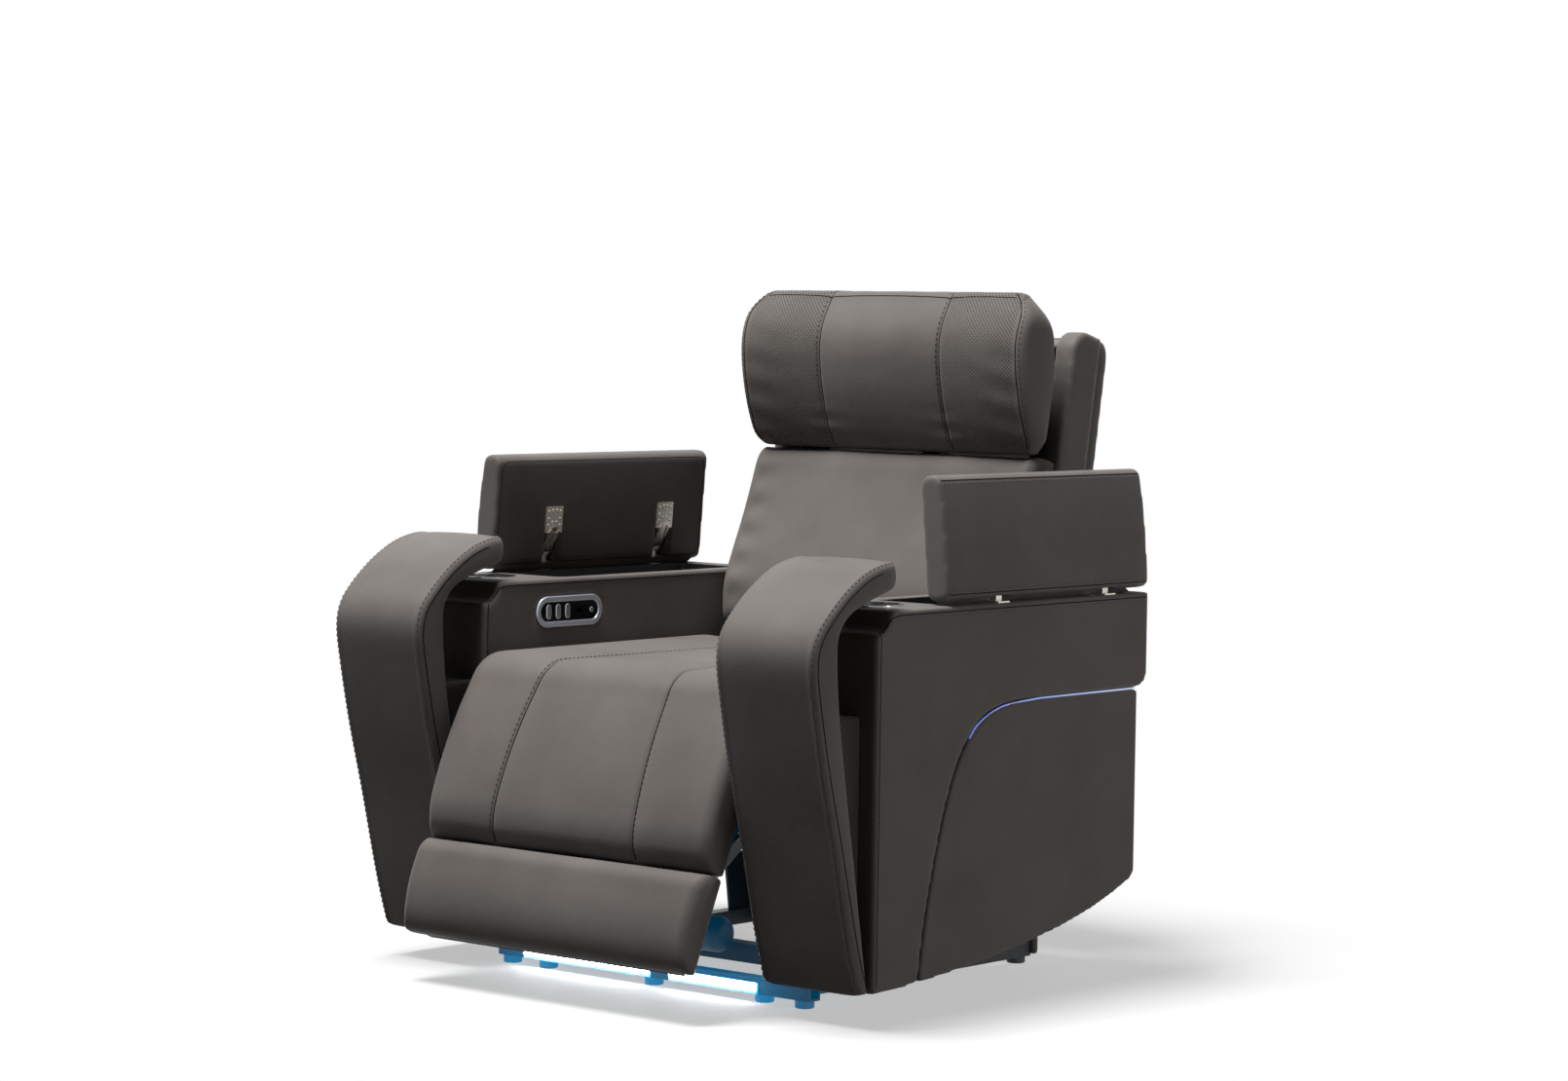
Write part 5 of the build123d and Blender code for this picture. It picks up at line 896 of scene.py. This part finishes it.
# how far behind the lean frame's face each row lies, and how far up the band's rise
BAND_ROWS = ((13.5, 0.0), (17.0, 0.12), (24.0, 0.3), (36.0, 0.52), (50.0, 0.72), (64.0, 0.87),
             (76.0, 0.96), (86.4, 1.0))
verts = []
for layer in (0.0, BAND_T):
    for y, t in BAND_ROWS:
        for x in np.linspace(-BAND_HALF, BAND_HALF, BAND_COLUMNS):
            sag = 1.4 * math.sin(math.pi * t) * (1 + 0.35 * math.sin(x / 19.0 + 2.0 * t))
            z = BAND_LOW + (BAND_HIGH - BAND_LOW) * t - sag + layer
            verts.append(back_world((x * MM, y * MM, z * MM)))
rows, columns = len(BAND_ROWS), BAND_COLUMNS
sheet = rows * columns
faces = sheet_faces(0, rows, columns) + sheet_faces(sheet, rows, columns, turned=True)
rim = list(range(columns)) + [(r + 1) * columns - 1 for r in range(1, rows)]
rim += [sheet - k for k in range(2, columns + 1)] + [r * columns for r in range(rows - 2, 0, -1)]
for a, b in zip(rim, rim[1:] + rim[:1]):
    faces.append((a, b, b + sheet, a + sheet))
band = add_object("back_top_band", verts, faces, hide, "back")

# ------------------------------------------------------------------ lids
LID_TOP, LID_LINING = 690, 590               # levels clear of the shut lid, above and below it
SEAM_IN, WELT_CORNER = 9, 16
WELT_R, WELT_SUNK = 0.0016, 0.0013
FLAP_ROWS = ((472.0, 616.4), (468.0, 618.6), (463.5, 622.0), (460.0, 625.2), (457.0, 628.6))
FLAP_COLUMNS, FLAP_T = 40, 1.6
HINGES_Y = (-7.0, 268.0)
ARM_SPANS = ((-7.5, 7.5, 0.0), (-7.5, -5.7, 4.5), (5.7, 7.5, 4.5))    # floor and two flanges
# each hinge's rivets, from the pin and from the hinge's middle, and the rings of their domes
RIVETS = ([(x, y) for x in (-53.0, -64.0, -76.0) for y in (-13.5, 13.5)]
          + [(x, y) for x in (-58.0, -78.0) for y in (-4.0, 5.0)])
RIVET_RINGS, RIVET_SIDES = ((2.3, 0.0), (2.1, 0.8), (1.2, 1.5)), 10


def crown_lid(lid, side):
    """Let the lid's top fall towards its free edge and its ends."""
    places = read_verts(lid, "co")
    shut = np.array([to_shut(p) for p in places])
    free = np.clip((PIN_X - LID_REACH + 110 - shut[:, 0]) / 110, 0, 1)
    ends = np.clip((np.abs(shut[:, 1] - LID_MIDDLE) - LID_HALF + 46) / 46, 0, 1)
    upper = np.clip((shut[:, 2] - 630) / 31, 0, 1)
    drop = (7.5 * free ** 2 + 3.5 * ends ** 2 - 1.5) * upper
    move_verts(lid, places - drop[:, None] * MM * np.array(shut_way((0, 0, 1), side)))


def lid_seams(lid, side, tag):
    """A seam along each long edge of the lid's top, and a welt round its lining."""
    x0, x1 = PIN_X - LID_REACH + SEAM_IN, PIN_X + LID_LIP - SEAM_IN
    y0, y1 = LID_MIDDLE - LID_HALF + SEAM_IN, LID_MIDDLE + LID_HALF - SEAM_IN
    for x, row, place in ((x0 - 1, -0.005, "free"), (x1 + 1, 0.005, "hinged")):
        line = [from_shut((x, y, LID_TOP), side) for y in np.linspace(y0 - 4, y1 + 4, 160)]
        seam(f"lid_seam_{place}_{tag}", lid, line, [shut_way((0, 0, -1), side)] * len(line),
             f"lid_{tag}", (0, 0, row))
    loop = []
    x0, x1, y0, y1 = x0 + WELT_CORNER, x1 - WELT_CORNER, y0 + WELT_CORNER, y1 - WELT_CORNER
    for x, y, start in ((x1, y0, 270), (x1, y1, 0), (x0, y1, 90), (x0, y0, 180)):
        for angle in np.radians(start + np.arange(0, 91, 15)):
            loop.append((x + WELT_CORNER * math.cos(angle), y + WELT_CORNER * math.sin(angle)))
    line = [from_shut((x, y, LID_LINING), side) for x, y in resample(loop + loop[:1], 220)]
    seam(f"lid_welt_{tag}", lid, line, [shut_way((0, 0, 1), side)] * len(line), f"lid_{tag}",
         radius=WELT_R, sunk=WELT_SUNK)


def lid_flap(side, tag):
    """A flap of leather closes the gap behind the hinges."""
    verts = []
    for layer in (0.0, FLAP_T):
        for x, z in FLAP_ROWS:
            rise = (z - FLAP_ROWS[0][1]) / (FLAP_ROWS[-1][1] - FLAP_ROWS[0][1])
            for y in np.linspace(LID_MIDDLE - LID_HALF + 12, LID_MIDDLE + LID_HALF - 18,
                                 FLAP_COLUMNS):
                wave = 0.5 * math.sin(y / 13.0) * math.sin(math.pi * rise)
                verts.append((side * (x + layer + wave) * MM, y * MM, z * MM))
    rows = len(FLAP_ROWS)
    faces = (sheet_faces(0, rows, FLAP_COLUMNS)
             + sheet_faces(rows * FLAP_COLUMNS, rows, FLAP_COLUMNS, turned=True))
    flap = add_object(f"lid_flap_{tag}", verts, faces, hide)
    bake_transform(flap)


def hinge_arms(side, tag):
    """The folded arms of a lid's two hinges, with their rivets."""
    verts, faces = [], []

    def add(places):
        verts.extend(from_shut((PIN_X + x, y, PIN_Z + z), side) for x, y, z in places)

    for hinge_y in HINGES_Y:
        for y0, y1, up in ARM_SPANS:
            low, high, y0, y1 = up - 28.8, up - 12.9, hinge_y + y0, hinge_y + y1
            faces += [tuple(len(verts) + k for k in reversed(face)) for face in BOX_FACES]
            for lift in (-1.2, 0.6):
                add([(-50.0, y0, low + lift), (-50.0, y1, low + lift),
                     (-11.0, y1, high + lift), (-11.0, y0, high + lift)])
    for hinge_y in HINGES_Y:
        for x, y in RIVETS:
            start = len(verts)
            for radius, low in RIVET_RINGS:
                for t in (2 * math.pi * k / RIVET_SIDES for k in range(RIVET_SIDES)):
                    add([(x + radius * math.cos(t), hinge_y + y + radius * math.sin(t),
                          -26.4 - low)])
            top = start + 2 * RIVET_SIDES
            faces += bridge(start, start + RIVET_SIDES, RIVET_SIDES)
            faces += bridge(start + RIVET_SIDES, top, RIVET_SIDES)
            faces.append(tuple(range(top, top + RIVET_SIDES)))
    arms = add_object(f"hinge_arms_{tag}", verts, faces, nickel, f"lid_{tag}", flat=True)


for side, tag in SIDES:
    lid = soften(f"lid_{tag}", f"lid_cover_{tag}", hide, f"lid_{tag}", 0.004, 5, 0.0006)
    crown_lid(lid, side)
    lid_seams(lid, side, tag)
    lid_flap(side, tag)
    hinge_arms(side, tag)

# ------------------------------------------------------------------ lit strips
LED_RUNS = ((-269.0, 4.0), (43.0, 225.0))
LAMP_PITCH, LAMP_HALF = 14.2, 5.2
tape = boxes("led_tape", [((a, -255.4, 12.4), (b, -252.6, 30.0)) for a, b in LED_RUNS], led_tape,
             "base")
lamps = []
for a, b in LED_RUNS:
    count = int((b - a) / LAMP_PITCH)
    for k in range(count):
        x = a + (b - a) * (k + 0.5) / count
        lamps.append(((x - LAMP_HALF, -257.4, 18.6), (x + LAMP_HALF, -255.2, 28.0)))
led_lamps = boxes("led_lamps", lamps, led_front, "base")
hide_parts("led_strips")

# the lit seam of each side panel
lit_seam = np.vstack([
    curve_through([(-88, 414), (-70, 432.5), (-42, 447), (-8, 457.5), (30, 461.5), (80, 464.3)],
                  40),
    [(y, 464.6) for y in np.linspace(90, 339, 40)]])
for side, tag in SIDES:
    line = [(side * 497.2 * MM, y * MM, z * MM) for y, z in lit_seam]
    light = tube(f"side_light_{tag}", line, 0.0012, led_side, "base")

# ------------------------------------------------------------------ floor and world
WHITE = (1, 1, 1, 1)
FLOOR_HALF = 40                              # metres
n = Surface("floor_white")
rays = n.new("ShaderNodeLightPath").outputs
direct = n.math("MAXIMUM", rays["Is Camera Ray"], rays["Is Glossy Ray"])
tint = n.mix(direct, (0.05, 0.05, 0.05, 1.0), (0.50, 0.50, 0.50, 1.0))
n.shaded({"Base Color": tint, "Roughness": 0.7, "Specular IOR Level": 0.05})
lifted = n.new("ShaderNodeEmission", {"Color": WHITE, "Strength": n.product(direct, 0.48)})
near = n.new("ShaderNodeAddShader", {0: n.shader.outputs[0], 1: lifted.outputs[0]})
# far from the seat the floor is plain white to the camera, so that no horizon shows
distance = n.new("ShaderNodeVectorMath", {0: n.place}, operation="LENGTH").outputs["Value"]
white = n.new("ShaderNodeEmission").outputs[0]
fade = n.new("ShaderNodeMixShader", {0: n.product(n.ramp(distance, 0.72, 1.14), direct),
                                     1: near.outputs[0], 2: white})
n.put(n.tree.nodes["Material Output"], "Surface", fade.outputs[0])
corners = [(x * FLOOR_HALF, y * FLOOR_HALF, 0) for x, y in ((-1, -1), (1, -1), (1, 1), (-1, 1))]
floor = add_object("floor", corners, [(0, 1, 2, 3)], n.material, flat=True)

# white to the camera and in reflections, and a weak fill for the rest
world = bpy.data.worlds.new("studio")
bpy.context.scene.world = world
n = Nodes(world)
n.tree.nodes.clear()
rays = n.new("ShaderNodeLightPath").outputs
shown = rays["Is Camera Ray"]
for ray in ("Is Glossy Ray", "Is Transmission Ray"):
    shown = n.math("MAXIMUM", shown, rays[ray])
fill = n.new("ShaderNodeBackground", {"Color": (0.97, 0.98, 1.0, 1), "Strength": 0.016})
seen = n.new("ShaderNodeBackground", {"Color": WHITE, "Strength": 1.0})
choose = n.new("ShaderNodeMixShader", {0: shown, 1: fill.outputs[0], 2: seen.outputs[0]})
n.new("ShaderNodeOutputWorld", {"Surface": choose.outputs[0]})


# ------------------------------------------------------------------ lights and camera
def area(name, place, target, size, power):
    light = bpy.data.lights.new(name, "AREA")
    light.shape = "RECTANGLE"
    light.size, light.size_y = size
    light.energy = power
    obj = bpy.data.objects.new(name, light)
    obj.location = place
    obj.rotation_mode = "QUATERNION"
    obj.rotation_quaternion = (Vector(target) - Vector(place)).to_track_quat("-Z", "Y")
    bpy.context.scene.collection.objects.link(obj)


area("top_soft", (-0.5, -1.35, 5.35), (0.0, -0.05, 0.5), (1.7, 2.6), 425)
area("side_soft", (5.0, 0.4, 0.75), (0.4, 0.1, 0.45), (1.2, 1.0), 38)

AZIMUTH, PITCH, ROLL = 0.7047868, 0.0561972, 0.0139460
FOCAL_PIXELS, IMAGE_WIDTH, SENSOR = 4187.57, 1610.0, 36.0
cam_data = bpy.data.cameras.new("camera")
cam = bpy.data.objects.new("camera", cam_data)
bpy.context.scene.collection.objects.link(cam)
bpy.context.scene.camera = cam
cam_data.sensor_fit = "HORIZONTAL"
cam_data.sensor_width = SENSOR
cam_data.lens = FOCAL_PIXELS * SENSOR / IMAGE_WIDTH
cam_data.clip_start, cam_data.clip_end = 0.1, 200.0
forward = Vector((-math.sin(AZIMUTH) * math.cos(PITCH), math.cos(AZIMUTH) * math.cos(PITCH),
                  -math.sin(PITCH)))
level = Vector((math.cos(AZIMUTH), math.sin(AZIMUTH), 0))
upward = level.cross(forward)
right = level * math.cos(ROLL) + upward * math.sin(ROLL)
up = -level * math.sin(ROLL) + upward * math.cos(ROLL)
turn = Matrix((right, up, -forward)).transposed()
cam.matrix_world = Matrix.Translation((4.25253, -4.94139, 1.05467)) @ turn.to_4x4()
bpy.context.scene.view_settings.view_transform = "Standard"
